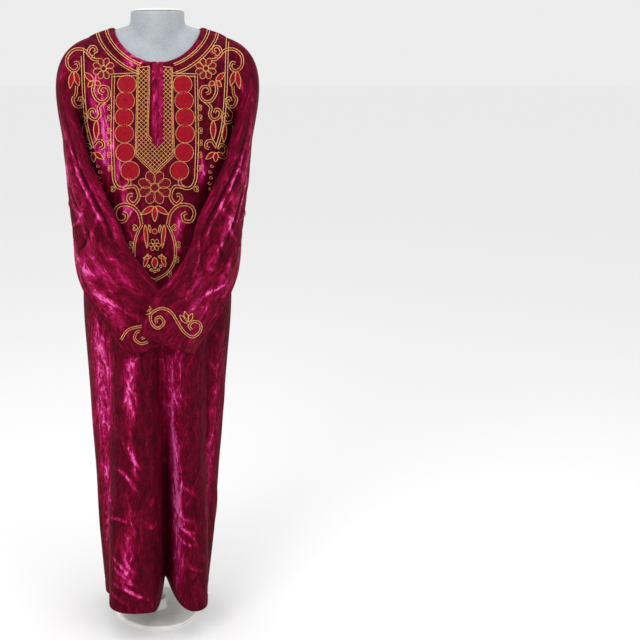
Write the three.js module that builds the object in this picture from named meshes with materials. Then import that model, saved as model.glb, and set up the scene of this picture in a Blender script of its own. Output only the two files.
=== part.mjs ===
// A long velvet caftan worn by a limbless dress form that stands on a pole and a round base.
// Millimetres, +Z up, the front faces -Y, the origin is on the floor under the pole.
import * as THREE from "three";

// Driving sizes of the garment
const hemHeight = 72;
const underarmHeight = 1168;
const slitFoot = 1143;
const placketFoot = 1131;
const clothThickness = 2;
const seamGap = 0.3;
const trimThickness = 1.4;
const armholeTop = 0.8; // share of the way from the underarm ring to the neckline
const armholeFront = 24; // degrees that the armhole cuts into the front and the back
const armholeBack = 21;
const slitHalfWidth = 1.3;
const weltWidth = 12;
const weltMiddle = 6.5;
const weltFootGap = 2; // the welt's pointed foot starts this far below the slit
const bindingStart = 0.91; // the neck binding covers the last stretch below the neckline

// Driving sizes of the dress form and its stand
const formBottom = 756;
const neckTop = 1408;
const capHeight = 5;
const capRadius = 52;
const poleRadius = 12.5;
const baseRadius = 100;
const baseThickness = 8;
const bossRadius = 24;
const bossHeight = 34;

// Finishes
const velvet = { color: 0x8e0b3c, roughness: 0.55, metalness: 0 };
const jersey = { color: 0x9aa0a5, roughness: 0.9, metalness: 0 };
const paintedSteel = { color: 0xe6e6e4, roughness: 0.45, metalness: 0.1 };

// Plain outline of the worn body of the garment at each height; square swells its corners
const bodySections = [
  { at: hemHeight, half: 123, front: 146, back: 126, square: 0.25 },
  { at: 150, half: 130, front: 144, back: 125, square: 0.2 },
  { at: 260, half: 139, front: 142, back: 123, square: 0.14 },
  { at: 380, half: 145, front: 140, back: 122, square: 0.07 },
  { at: 480, half: 152, front: 139, back: 122, square: 0.03 },
  { at: 580, half: 157, front: 138, back: 122, square: 0 },
  { at: 660, half: 162, front: 138, back: 123, square: 0 },
  { at: 740, half: 167, front: 137, back: 123, square: 0 },
  { at: 800, half: 168, front: 136, back: 120, square: 0 },
  { at: 885, half: 164, front: 132, back: 112, square: 0 },
  { at: 980, half: 155, front: 127, back: 101, square: 0 },
  { at: 1075, half: 158, front: 132, back: 102, square: 0 },
  { at: 1130, half: 162, front: 135, back: 105, square: 0 },
  { at: 1168, half: 163, front: 134, back: 107, square: 0 },
];

// Folds pressed into that outline: where each lies, how far it spreads each way, its depth on the way down
// and how far it lifts the hem
const bodyFolds = [
  { at: 3, hemAt: 10.5, left: 6.5, right: 12, bust: 0, hip: 8, hem: 142, rise: 20 },
  { at: -44, hemAt: -60, left: 10, right: 10, bust: 2.5, hip: 12, hem: 22, rise: 3 },
  { at: 45, hemAt: 66, left: 10, right: 10, bust: 2.5, hip: 12, hem: 25, rise: 4 },
  { at: -108, hemAt: -110, left: 10, right: 9, bust: 0, hip: 3, hem: 24, rise: 5 },
  { at: 106, hemAt: 108, left: 9, right: 10, bust: 0, hip: 4, hem: 21, rise: 3 },
  { at: -139, hemAt: -143, left: 11, right: 10, bust: 1.5, hip: 7, hem: 34, rise: 6 },
  { at: 141, hemAt: 140, left: 10, right: 12, bust: 2, hip: 7, hem: 38, rise: 7 },
  { at: 178, hemAt: 182, left: 13, right: 11, bust: 2, hip: 10, hem: 44, rise: 8 },
];
const bustHeight = 1128;
const hipHeight = 786;
const hemLiftTop = 190; // the lift of the hem fades out up to here

// Four control rings that lead from the underarm ring over the shoulders to the neckline
const yokeRings = [
  { half: 163, front: 134, back: 107, sideZ: 1168, frontZ: 1168, backZ: 1168, bend: 2 },
  { half: 174, front: 132, back: 112, sideZ: 1275, frontZ: 1213, backZ: 1244, bend: 2 },
  { half: 213, front: 115, back: 113, sideZ: 1357, frontZ: 1283, backZ: 1340, bend: 2 },
  { half: 92, front: 82, back: 62, sideZ: 1374, frontZ: 1303, backZ: 1364, bend: 1.3 },
];

// Each sleeve from the upper arm to the cuff: its front edge and its back edge as an angle round the body
// (0 is the side, 90 the front centre) and a height, and how thick the hollow sleeve lies
const sleeveSections = [
  { frontAngle: 32, frontZ: 1140, backAngle: -25, backZ: 1124, thick: 42 },
  { frontAngle: 37, frontZ: 1101, backAngle: -22, backZ: 1062, thick: 43 },
  { frontAngle: 46, frontZ: 1060, backAngle: -16, backZ: 1008, thick: 43 },
  { frontAngle: 54, frontZ: 1018, backAngle: -8, backZ: 950, thick: 39 },
  { frontAngle: 61, frontZ: 979, backAngle: 3, backZ: 895, thick: 30 },
  { frontAngle: 67, frontZ: 936, backAngle: 14, backZ: 852, thick: 26 },
  { frontAngle: 75, frontZ: 897, backAngle: 27, backZ: 815, thick: 24 },
  { frontAngle: 84, frontZ: 860, backAngle: 38, backZ: 783, thick: 24 },
  { frontAngle: 92, frontZ: 827, backAngle: 47, backZ: 753, thick: 24 },
  { frontAngle: 97, frontZ: 787, backAngle: 56, backZ: 722, thick: 24 },
  { frontAngle: 101, frontZ: 745, backAngle: 65, backZ: 694, thick: 23 },
];
const sleeveRest = 3.5; // the sleeve lies this far off the plain outline of the body
const sleeves = [
  { node: "sleeve_left", side: 1, reach: 0, drop: 0, lift: 30 },
  { node: "sleeve_right", side: -1, reach: 6, drop: 8, lift: 0 },
];
const liftFrom = 56; // the upper sleeve rises over the lower one between these angles
const liftTo = 79;
const sleeveGrooves = [
  { at: 48, spread: 17, depth: 5.5 },
  { at: 88, spread: 15, depth: 6.5 },
  { at: 128, spread: 16, depth: 5 },
];

const rad = (degrees) => (degrees * Math.PI) / 180;
const smooth = (t) => {
  const c = Math.min(1, Math.max(0, t));
  return c * c * (3 - 2 * c);
};

// A smooth curve through a table's column
function column(table, key, at) {
  const last = table.length - 1;
  const x = Math.min(Math.max(at, table[0].at), table[last].at);
  let i = 0;
  while (i < last - 1 && x > table[i + 1].at) i += 1;
  const slope = (k) => {
    const a = table[Math.max(0, k - 1)];
    const b = table[Math.min(last, k + 1)];
    return (b[key] - a[key]) / (b.at - a.at);
  };
  const span = table[i + 1].at - table[i].at;
  const t = (x - table[i].at) / span;
  const [t2, t3] = [t * t, t * t * t];
  return (
    (2 * t3 - 3 * t2 + 1) * table[i][key] +
    (t3 - 2 * t2 + t) * span * slope(i) +
    (3 * t2 - 2 * t3) * table[i + 1][key] +
    (t3 - t2) * span * slope(i + 1)
  );
}

// How much of a fold is felt at an angle from the front centre; low runs from 0 at the hip to 1 at the hem
function foldShare(fold, angle, low) {
  const centre = fold.at + (fold.hemAt - fold.at) * low;
  const away = ((((angle - centre) % 360) + 540) % 360) - 180;
  const spread = away < 0 ? fold.left : fold.right;
  return Math.exp(-(Math.abs(away / spread) ** 1.7));
}

// A point of the garment's outer surface below the underarm.
// The angle counts from the front centre towards +X
function lowerBody(angle, z) {
  const a = rad(angle);
  const [sin, cos] = [Math.sin(a), Math.cos(a)];
  const depth = column(bodySections, cos > 0 ? "front" : "back", z);
  const swell = 1 + column(bodySections, "square", z) * Math.sin(2 * a) ** 2;
  const half = column(bodySections, "half", z);
  const point = new THREE.Vector3(half * sin * swell, -depth * cos * swell, z);
  const down = smooth((bustHeight - z) / (bustHeight - hipHeight));
  const low = Math.min(1, Math.max(0, (hipHeight - z) / (hipHeight - hemHeight)));
  const fade = smooth((underarmHeight - z) / (underarmHeight - bustHeight));
  const lift = smooth((hemLiftTop - z) / (hemLiftTop - hemHeight));
  const inward = new THREE.Vector3(-point.x * Math.abs(sin), -point.y, 0).normalize();
  for (const fold of bodyFolds) {
    const share = foldShare(fold, angle, low);
    const full = fold.bust + (fold.hip - fold.bust) * down + (fold.hem - fold.hip) * low ** 0.9;
    point.addScaledVector(inward, full * fade * share);
    point.z += fold.rise * lift * share;
  }
  return point;
}

// A point of the surface above the underarm; way runs from 0 at the underarm ring to 1 at the neckline
function upperBody(angle, way) {
  const a = rad(angle);
  const weights = [(1 - way) ** 3, 3 * way * (1 - way) ** 2, 3 * way * way * (1 - way), way ** 3];
  const point = new THREE.Vector3();
  yokeRings.forEach((ring, i) => {
    const cos = Math.cos(a);
    const endZ = cos > 0 ? ring.frontZ : ring.backZ;
    const depth = cos > 0 ? ring.front : ring.back;
    const z = ring.sideZ + (endZ - ring.sideZ) * Math.abs(cos) ** ring.bend;
    point.addScaledVector(new THREE.Vector3(ring.half * Math.sin(a), -depth * cos, z), weights[i]);
  });
  return point;
}

// The rows of the body from hem to neckline, each as a function of the angle
const lowerHeights = [110, 170, 260, 360, 460, 560, 650, 735, 815, 895, 970, 1040, 1095];
const lowerRows = [hemHeight, ...lowerHeights, placketFoot, slitFoot];
const armholeSteps = 8;
const armholeRows = Array.from(
  { length: armholeSteps + 1 },
  (_, i) => (armholeTop / 2) * (1 - Math.cos((Math.PI * i) / armholeSteps)),
);
const upperRows = [...armholeRows, 0.85, bindingStart, 1];
const rows = [
  ...lowerRows.map((z) => ({ z, way: 0 })),
  ...upperRows.map((way) => ({ z: underarmHeight, way })),
];

// A point of the body at a row, moved out along the surface's normal
function bodyPoint({ z, way }, angle, off = 0) {
  const onUpper = z >= underarmHeight;
  const at = (turn, step) => {
    if (onUpper) return upperBody(angle + turn, way + step / 200);
    return lowerBody(angle + turn, z + step);
  };
  const point = at(0, 0);
  if (off === 0) return point;
  const across = at(0.5, 0).sub(at(-0.5, 0));
  const along = at(0, 1).sub(at(0, -1));
  return point.addScaledVector(across.cross(along).normalize(), off);
}

// Share of the quarter turn that the armhole takes from a panel at a row
function armholeCut(way, degrees) {
  const along = way / (armholeTop / 2) - 1;
  return Math.abs(along) >= 1 ? 0 : degrees * Math.sqrt(1 - along * along);
}

// Columns across a half of the body: spaced by the length of the hem, so that deep folds get enough of them
function panelColumns(count, centre) {
  const fine = 720;
  const lengths = [0];
  for (let i = 1; i <= fine; i += 1) {
    const [a, b] = [i - 1, i].map((k) => lowerBody(centre + (k / fine) * 180 - 90, hemHeight + 40));
    lengths.push(lengths[i - 1] + a.distanceTo(b) + 0.5);
  }
  const columns = [];
  for (let k = 0; k <= count; k += 1) {
    const goal = (lengths[fine] * k) / count;
    const i = lengths.findIndex((length) => length >= goal);
    columns.push((i / fine) * 2 - 1);
  }
  return columns;
}

// The angle from the front centre at which a row of the body is a given width off the centre line
function angleAt(row, width) {
  return THREE.MathUtils.radToDeg(Math.asin(width / bodyPoint(row, 90).x));
}

function meshOf(points, faces) {
  const numbers = points.flatMap((p) => [p.x, p.y, p.z]);
  const geometry = new THREE.BufferGeometry();
  geometry.setAttribute("position", new THREE.Float32BufferAttribute(numbers, 3));
  geometry.setIndex(faces);
  return geometry;
}

// Makes a closed wall from a grid of outer points: outer face, inner face and every rim.
// keep says which cells of the grid are cloth; a round grid joins its last column to its first.
function wall(outer, inner, round = false, keep = () => true) {
  const [rowCount, columnCount] = [outer.length, outer[0].length];
  const points = [...outer.flat(), ...inner.flat()];
  const shift = rowCount * columnCount;
  const index = (i, j) => i * columnCount + (j % columnCount);
  const cellColumns = round ? columnCount : columnCount - 1;
  const inside = (i, j) => {
    const column = round ? (j + cellColumns) % cellColumns : j;
    return i >= 0 && i < rowCount - 1 && column >= 0 && column < cellColumns && keep(i, column);
  };
  const faces = [];
  const quad = (a, b, c, d) => faces.push(a, b, c, a, c, d);
  for (let i = 0; i < rowCount - 1; i += 1) {
    for (let j = 0; j < cellColumns; j += 1) {
      if (!inside(i, j)) continue;
      const [a, b, c, d] = [index(i, j), index(i, j + 1), index(i + 1, j + 1), index(i + 1, j)];
      quad(a, b, c, d);
      quad(a + shift, d + shift, c + shift, b + shift);
      if (!inside(i - 1, j)) quad(b, a, a + shift, b + shift);
      if (!inside(i + 1, j)) quad(d, c, c + shift, d + shift);
      if (!inside(i, j - 1)) quad(a, d, d + shift, a + shift);
      if (!inside(i, j + 1)) quad(c, b, b + shift, c + shift);
    }
  }
  return meshOf(points, faces);
}

// Moves each point of a round grid along the surface's outward normal
function moved(grid, distance) {
  const columnCount = grid[0].length;
  const at = (i, j) => grid[Math.min(grid.length - 1, Math.max(0, i))][(j + columnCount) % columnCount];
  return grid.map((row, i) =>
    row.map((point, j) => {
      const across = at(i, j + 1).clone().sub(at(i, j - 1));
      const along = at(i + 1, j).clone().sub(at(i - 1, j));
      return point.clone().addScaledVector(across.cross(along).normalize(), distance);
    }),
  );
}

// Points of a panel, moved out by a distance: centre is 0 for the front and 180 for the back.
// A column is a share of the panel's half width, or a width off the centre line
function panelGrid(columns, centre, cutDegrees, off = 0) {
  return rows.map((row) => {
    const side = bodyPoint(row, centre + 90);
    const seam = THREE.MathUtils.radToDeg(seamGap / 2 / Math.hypot(side.x, side.y));
    const half = 90 - Math.max(seam, armholeCut(row.way, cutDegrees));
    const angleOf = ({ share, width }) => (width === undefined ? centre + half * share : angleAt(row, width));
    return columns.map((item) => bodyPoint(row, angleOf(item), off));
  });
}

// The front's columns hold the edges of the slit and of the placket's welts
const centreWidths = [-weltWidth, -weltMiddle, -slitHalfWidth, slitHalfWidth, weltMiddle, weltWidth];
const centreClear = 7; // degrees off the centre line kept for those columns
const frontShares = panelColumns(40, 0).filter((share) => Math.abs(share * 90) > centreClear);
const frontColumns = [
  ...frontShares.filter((share) => share < 0).map((share) => ({ share })),
  ...centreWidths.map((width) => ({ width })),
  ...frontShares.filter((share) => share > 0).map((share) => ({ share })),
];
const backColumns = panelColumns(32, 180).map((share) => ({ share }));
const slitColumn = frontColumns.findIndex(({ width }) => width === -slitHalfWidth);
const slitRow = lowerRows.indexOf(slitFoot);

function frontPanel() {
  const [outer, inner] = [0, -clothThickness].map((off) => panelGrid(frontColumns, 0, armholeFront, off));
  const keep = (i, j) => !(j === slitColumn && i >= slitRow);
  return wall(outer, inner, false, keep);
}

function backPanel() {
  const [outer, inner] = [0, -clothThickness].map((off) => panelGrid(backColumns, 180, armholeBack, off));
  return wall(outer, inner);
}

// A welt beside the slit, made from the front's own points moved out; its foot is pointed
function placketWelt(side) {
  const widths = side > 0 ? [seamGap, weltMiddle, weltWidth] : [-weltWidth, -weltMiddle, -seamGap];
  const rise = slitFoot - placketFoot - weltFootGap;
  const foot = (width) => ({ z: placketFoot + (rise * Math.abs(width)) / weltWidth, way: 0 });
  const layer = (off) =>
    [foot, ...rows.slice(slitRow).map((row) => () => row)].map((rowAt) =>
      widths.map((width) => bodyPoint(rowAt(width), angleAt(rowAt(width), width), off)),
    );
  return wall(layer(seamGap + trimThickness), layer(seamGap));
}

// Degrees by which the binding keeps clear of the placket's edges, the shoulder seams and their columns
const bindingClear = { placket: 9, column: 1, seam: 0.3 };

// The narrow binding round the neckline, from one side of the placket to the other
function neckBinding() {
  const { placket, column: beside, seam } = bindingClear;
  const frontHalf = frontShares.map((share) => share * 90);
  const backHalf = backColumns.map(({ share }) => 180 + share * 90);
  const layer = (off) =>
    [bindingStart, 1].map((way) => {
      const row = { z: underarmHeight, way };
      const edge = angleAt(row, weltWidth + seamGap);
      const angles = [
        edge,
        ...frontHalf.filter((angle) => angle > placket && angle < 90 - beside),
        90 - seam,
        ...backHalf.filter((angle) => angle > 90 + beside / 2 && angle < 270 - beside / 2),
        270 + seam,
        ...frontHalf.filter((angle) => angle < -placket && angle > beside - 90).map((angle) => angle + 360),
        360 - edge,
      ];
      return angles.map((angle) => bodyPoint(row, angle, off));
    });
  return wall(layer(seamGap + trimThickness), layer(seamGap));
}

// A point off the plain outline of the body; the angle counts from the side towards the front
function wrapped(angle, z, off) {
  const a = rad(angle);
  const half = column(bodySections, "half", z);
  const depth = angle > 0 ? column(bodySections, "front", z) : column(bodySections, "back", z);
  const normal = new THREE.Vector3(Math.cos(a) / half, -Math.sin(a) / depth, 0).normalize();
  return new THREE.Vector3(half * Math.cos(a), -depth * Math.sin(a), z).addScaledVector(normal, off);
}

// A ring of the sleeve below the armhole; round is the angle in its section, way counts sections
function sleeveRing(way, round, { reach, drop, lift }) {
  const last = sleeveSections.length - 1;
  const table = sleeveSections.map((row, at) => ({ at, ...row }));
  const value = (key) => column(table, key, way);
  const end = smooth((way - 4) / (last - 4));
  const share = (1 + Math.cos(round)) / 2;
  const angle = value("backAngle") + (value("frontAngle") - value("backAngle")) * share + reach * end;
  const z = value("backZ") + (value("frontZ") - value("backZ")) * share - drop * end;
  const thick = value("thick");
  const bulge = Math.sign(Math.sin(round)) * Math.abs(Math.sin(round)) ** 0.75;
  let off = sleeveRest + (thick / 2) * (1 + bulge) + lift * smooth((angle - liftFrom) / (liftTo - liftFrom));
  for (const groove of sleeveGrooves) {
    const away = (THREE.MathUtils.radToDeg(round) - groove.at - way * 1.5) / groove.spread;
    off -= groove.depth * smooth(way / 2 + 0.3) * (1 - 0.6 * end) * Math.exp(-away * away);
  }
  return wrapped(angle, z, off);
}

// The armhole's edge, seen from the side: 0 is its front, 90 degrees its top. The panels' own corners on the
// edge are joined straight, so the sleeve's head starts parallel to them
function armholeEdge(round, shrink) {
  const centre = upperBody(90, armholeTop / 2);
  const corner = (turn) => {
    const cut = Math.cos(turn) * (Math.cos(turn) > 0 ? armholeFront : armholeBack);
    return upperBody(90 - cut, (armholeTop / 2) * (1 + Math.sin(turn)));
  };
  const step = Math.PI / armholeSteps;
  const from = Math.floor(round / step + 1e-6);
  const point = corner(from * step).lerp(corner((from + 1) * step), round / step - from);
  const inward = centre.sub(point).setX(0).normalize();
  return point.addScaledVector(inward, shrink);
}

const sleeveStations = 4 * armholeSteps;
const headRows = 5;
const headCrowding = 1.3; // the head's rows lie closer together near the armhole
const armholeShrink = 1; // the sleeve starts this far inside the armhole's edge
const armRows = 12;

// How the sleeve's head leaves the armhole: outwards, further at the top than at the bottom,
// forwards and back at its edges, and downwards
const headLeaves = { out: 110, outTop: 205, outLow: 70, spread: 22, fall: 50, fallTop: 45 };

function sleeve(spec) {
  const last = sleeveSections.length - 1;
  const grid = [];
  for (let i = 0; i < headRows; i += 1) {
    const t = (i / headRows) ** headCrowding;
    const [t2, t3] = [t * t, t * t * t];
    const ring = [];
    for (let j = 0; j < sleeveStations; j += 1) {
      const round = (2 * Math.PI * j) / sleeveStations;
      const start = armholeEdge(round, armholeShrink);
      const finish = sleeveRing(0, round, spec);
      const onward = sleeveRing(0.25, round, spec).sub(finish).setLength(start.distanceTo(finish));
      const up = Math.sin(round);
      const out = new THREE.Vector3(
        headLeaves.out + up * (up > 0 ? headLeaves.outTop : headLeaves.outLow),
        -headLeaves.spread * Math.cos(round),
        -headLeaves.fall - headLeaves.fallTop * Math.max(0, up),
      );
      const point = new THREE.Vector3()
        .addScaledVector(start, 2 * t3 - 3 * t2 + 1)
        .addScaledVector(out, t3 - 2 * t2 + t)
        .addScaledVector(finish, 3 * t2 - 2 * t3)
        .addScaledVector(onward, t3 - t2);
      ring.push(point);
    }
    grid.push(ring);
  }
  for (let i = 0; i <= armRows; i += 1) {
    const way = (last * i) / armRows;
    const ring = [];
    for (let j = 0; j < sleeveStations; j += 1) {
      ring.push(sleeveRing(way, (2 * Math.PI * j) / sleeveStations, spec));
    }
    grid.push(ring);
  }
  const outer = grid.map((ring) => ring.map((p) => new THREE.Vector3(spec.side * p.x, p.y, p.z)));
  if (spec.side > 0) outer.forEach((ring) => ring.reverse());
  return wall(outer, moved(outer, -clothThickness), true);
}

// A solid stack of rings, closed with a fan at each end
function stack(rings) {
  const count = rings[0].length;
  const points = rings.flat();
  const faces = [];
  for (let i = 0; i < rings.length - 1; i += 1) {
    for (let j = 0; j < count; j += 1) {
      const [a, b] = [i * count + j, i * count + ((j + 1) % count)];
      faces.push(a, b, b + count, a, b + count, a + count);
    }
  }
  const centreOf = (ring) => ring.reduce((sum, p) => sum.add(p), new THREE.Vector3()).divideScalar(count);
  const [low, high] = [points.length, points.length + 1];
  points.push(centreOf(rings[0]), centreOf(rings[rings.length - 1]));
  const top = (rings.length - 1) * count;
  for (let j = 0; j < count; j += 1) {
    const next = (j + 1) % count;
    faces.push(low, next, j, high, top + j, top + next);
  }
  return meshOf(points, faces);
}

// The dress form: how far its surface lies inside the garment's plain outline at each height
const formEase = [
  { at: 756, side: 15, front: 23, back: 21 },
  { at: 885, side: 15, front: 20, back: 17 },
  { at: 980, side: 24, front: 28, back: 19 },
  { at: 1075, side: 13, front: 13, back: 11 },
  { at: 1130, side: 7, front: 7, back: 7 },
  { at: 1168, side: 4.2, front: 4.2, back: 4.2 },
];
const neckRings = [
  { half: 76, front: 66, back: 51, sideZ: 1376, frontZ: 1316, backZ: 1366 },
  { half: 63, front: 58, back: 49, sideZ: 1380, frontZ: 1334, backZ: 1372 },
  { half: 58, front: 55, back: 50, sideZ: 1388, frontZ: 1362, backZ: 1384 },
  { half: 57, front: 54, back: 50, sideZ: neckTop, frontZ: neckTop, backZ: neckTop },
];
const formClearance = 1.3; // between the form and the inside of the cloth above the underarm
const formStations = 36;
const formRows = [756, 790, 835, 885, 935, 980, 1030, 1080, 1125];

function formTorso() {
  const angles = Array.from({ length: formStations }, (_, j) => (360 * j) / formStations - 90);
  const rings = [];
  for (const z of formRows) {
    rings.push(
      angles.map((angle) => {
        const a = rad(angle);
        const [half, ease] = [column(bodySections, "half", z), column(formEase, "side", z)];
        const face = Math.cos(a) > 0 ? "front" : "back";
        const depth = column(bodySections, face, z) - column(formEase, face, z);
        return new THREE.Vector3((half - ease) * Math.sin(a), -depth * Math.cos(a), z);
      }),
    );
  }
  const skin = -(clothThickness + formClearance);
  for (const way of upperRows) {
    rings.push(angles.map((angle) => bodyPoint({ z: underarmHeight, way }, angle, skin)));
  }
  for (const ring of neckRings) {
    rings.push(
      angles.map((angle) => {
        const cos = Math.cos(rad(angle));
        const [depth, endZ] = cos > 0 ? [ring.front, ring.frontZ] : [ring.back, ring.backZ];
        const z = ring.sideZ + (endZ - ring.sideZ) * cos * cos;
        return new THREE.Vector3(ring.half * Math.sin(rad(angle)), -depth * cos, z);
      }),
    );
  }
  return stack(rings);
}

// A turned piece from a profile of radius and height pairs that starts and ends on the axis
function turned(profile, segments) {
  const geometry = new THREE.LatheGeometry(profile.map(([r, z]) => new THREE.Vector2(r, z)), segments);
  return geometry.rotateX(Math.PI / 2);
}

function neckCap() {
  const foot = neckTop + seamGap;
  const top = foot + capHeight;
  return turned(
    [
      [0, foot],
      [capRadius - 3, foot],
      [capRadius, foot + 1.5],
      [capRadius - 2, top - 1],
      [capRadius - 5, top],
      [0, top],
    ],
    32,
  );
}

function pole() {
  const [foot, top] = [bossHeight + seamGap, formBottom - seamGap];
  return turned([[0, foot], [poleRadius, foot], [poleRadius, top], [0, top]], 24);
}

function roundBase() {
  const rim = 3;
  return turned(
    [
      [0, 0],
      [baseRadius - rim, 0],
      [baseRadius, rim],
      [baseRadius, baseThickness - rim],
      [baseRadius - rim, baseThickness],
      [bossRadius, baseThickness + 1],
      [bossRadius - 4, bossHeight],
      [0, bossHeight],
    ],
    40,
  );
}

const caftan = new THREE.Group();

function add(node, geometry, finish) {
  const mesh = new THREE.Mesh(geometry, new THREE.MeshStandardMaterial(finish));
  mesh.name = node;
  caftan.add(mesh);
}

add("front", frontPanel(), velvet);
add("back", backPanel(), velvet);
for (const spec of sleeves) add(spec.node, sleeve(spec), velvet);
add("neck_binding", neckBinding(), velvet);
add("placket_left", placketWelt(1), velvet);
add("placket_right", placketWelt(-1), velvet);
add("form_torso", formTorso(), jersey);
add("form_neck_cap", neckCap(), paintedSteel);
add("form_pole", pole(), paintedSteel);
add("form_base", roundBase(), paintedSteel);

export default caftan;
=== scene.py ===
import math

import bpy
import numpy as np
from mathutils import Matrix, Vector
from mathutils.bvhtree import BVHTree


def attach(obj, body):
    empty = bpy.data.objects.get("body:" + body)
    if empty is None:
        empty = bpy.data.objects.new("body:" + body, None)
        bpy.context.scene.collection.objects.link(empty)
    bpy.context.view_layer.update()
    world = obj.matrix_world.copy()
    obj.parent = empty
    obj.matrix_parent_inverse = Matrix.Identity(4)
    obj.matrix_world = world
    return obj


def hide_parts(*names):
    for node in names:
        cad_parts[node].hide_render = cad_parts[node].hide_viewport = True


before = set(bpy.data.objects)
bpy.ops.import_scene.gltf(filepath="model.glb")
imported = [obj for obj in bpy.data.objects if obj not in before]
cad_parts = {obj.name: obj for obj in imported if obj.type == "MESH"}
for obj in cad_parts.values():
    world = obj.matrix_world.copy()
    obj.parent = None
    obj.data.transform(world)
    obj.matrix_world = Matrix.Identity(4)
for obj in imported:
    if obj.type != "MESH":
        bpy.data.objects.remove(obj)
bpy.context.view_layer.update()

# ---- small helpers used by every piece


def toLinear(hexColour):
    parts = [int(hexColour[i : i + 2], 16) / 255 for i in (1, 3, 5)]
    return [c / 12.92 if c <= 0.04045 else ((c + 0.055) / 1.055) ** 2.4 for c in parts] + [1.0]


def addNode(material, kind, settings=None, links=None):
    node = material.node_tree.nodes.new(kind)
    for name, value in (settings or {}).items():
        if isinstance(name, str) and hasattr(node, name):
            setattr(node, name, value)
        else:
            node.inputs[name].default_value = value
    for name, source in (links or {}).items():
        material.node_tree.links.new(source, node.inputs[name])
    return node


def newMaterial(name):
    material = bpy.data.materials.new(name)
    material.use_nodes = True
    material.node_tree.nodes.clear()
    return material


def smooth(t):
    c = np.clip(t, 0, 1)
    return c * c * (3 - 2 * c)


def tableColumn(table, key, at):  # a smooth curve through one column of a table
    xs, ys = np.array(table["at"], float), np.array(table[key], float)
    last = len(xs) - 1
    k = np.arange(last + 1)
    before, after = np.maximum(k - 1, 0), np.minimum(k + 1, last)
    slope = (ys[after] - ys[before]) / (xs[after] - xs[before])
    x = np.clip(at, xs[0], xs[-1])
    i = np.clip(np.searchsorted(xs, x, side="left") - 1, 0, last - 1)
    span = xs[i + 1] - xs[i]
    t = (x - xs[i]) / span
    return (
        (2 * t**3 - 3 * t**2 + 1) * ys[i]
        + (t**3 - 2 * t**2 + t) * span * slope[i]
        + (3 * t**2 - 2 * t**3) * ys[i + 1]
        + (t**3 - t**2) * span * slope[i + 1]
    )


# ---- the cut of the caftan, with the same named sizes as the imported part, in millimetres

caftanCut = {
    "hem": 72,
    "underarm": 1168,
    "slitFoot": 1143,
    "placketFoot": 1131,
    "bust": 1128,
    "hip": 786,
    "hemLiftTop": 190,
    "armholeTop": 0.8,  # share of the way from the underarm ring to the neckline
    "armholeFront": 24,  # degrees that the armhole cuts into a panel
    "armholeBack": 21,
    "weltWidth": 12,
    "seamGap": 0.3,
    "thick": 1.6,
    "yokeLevels": 200,  # levels counted from the underarm up to the neckline
    "neckBend": 1366,  # the highest level whose facing is taken, just under the neckline
}
bodySections = {
    "at": [72, 150, 260, 380, 480, 580, 660, 740, 800, 885, 980, 1075, 1130, 1168],
    "half": [123, 130, 139, 145, 152, 157, 162, 167, 168, 164, 155, 158, 162, 163],
    "front": [146, 144, 142, 140, 139, 138, 138, 137, 136, 132, 127, 132, 135, 134],
    "back": [126, 125, 123, 122, 122, 122, 123, 123, 120, 112, 101, 102, 105, 107],
    "square": [0.25, 0.2, 0.14, 0.07, 0.03, 0, 0, 0, 0, 0, 0, 0, 0, 0],
}
foldNames = ("at", "hemAt", "left", "right", "bust", "hip", "hem", "rise")
bodyFolds = [
    dict(zip(foldNames, row))
    for row in [
        (3, 10.5, 6.5, 12, 0, 8, 142, 20),
        (-44, -60, 10, 10, 2.5, 12, 22, 3),
        (45, 66, 10, 10, 2.5, 12, 25, 4),
        (-108, -110, 10, 9, 0, 3, 24, 5),
        (106, 108, 9, 10, 0, 4, 21, 3),
        (-139, -143, 11, 10, 1.5, 7, 34, 6),
        (141, 140, 10, 12, 2, 7, 38, 7),
        (178, 182, 13, 11, 2, 10, 44, 8),
    ]
]
yokeRings = [
    {"half": 163, "front": 134, "back": 107, "sideZ": 1168, "frontZ": 1168, "backZ": 1168, "bend": 2},
    {"half": 174, "front": 132, "back": 112, "sideZ": 1275, "frontZ": 1213, "backZ": 1244, "bend": 2},
    {"half": 213, "front": 115, "back": 113, "sideZ": 1357, "frontZ": 1283, "backZ": 1340, "bend": 2},
    {"half": 92, "front": 82, "back": 62, "sideZ": 1374, "frontZ": 1303, "backZ": 1364, "bend": 1.3},
]
sleeveSections = {
    "at": list(range(11)),
    "frontAngle": [32, 37, 46, 54, 61, 67, 75, 84, 92, 97, 101],
    "frontZ": [1140, 1101, 1060, 1018, 979, 936, 897, 860, 827, 787, 745],
    "backAngle": [-25, -22, -16, -8, 3, 14, 27, 38, 47, 56, 65],
    "backZ": [1124, 1062, 1008, 950, 895, 852, 815, 783, 753, 722, 694],
    "thick": [42, 43, 43, 39, 30, 26, 24, 24, 24, 24, 23],
}


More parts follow.
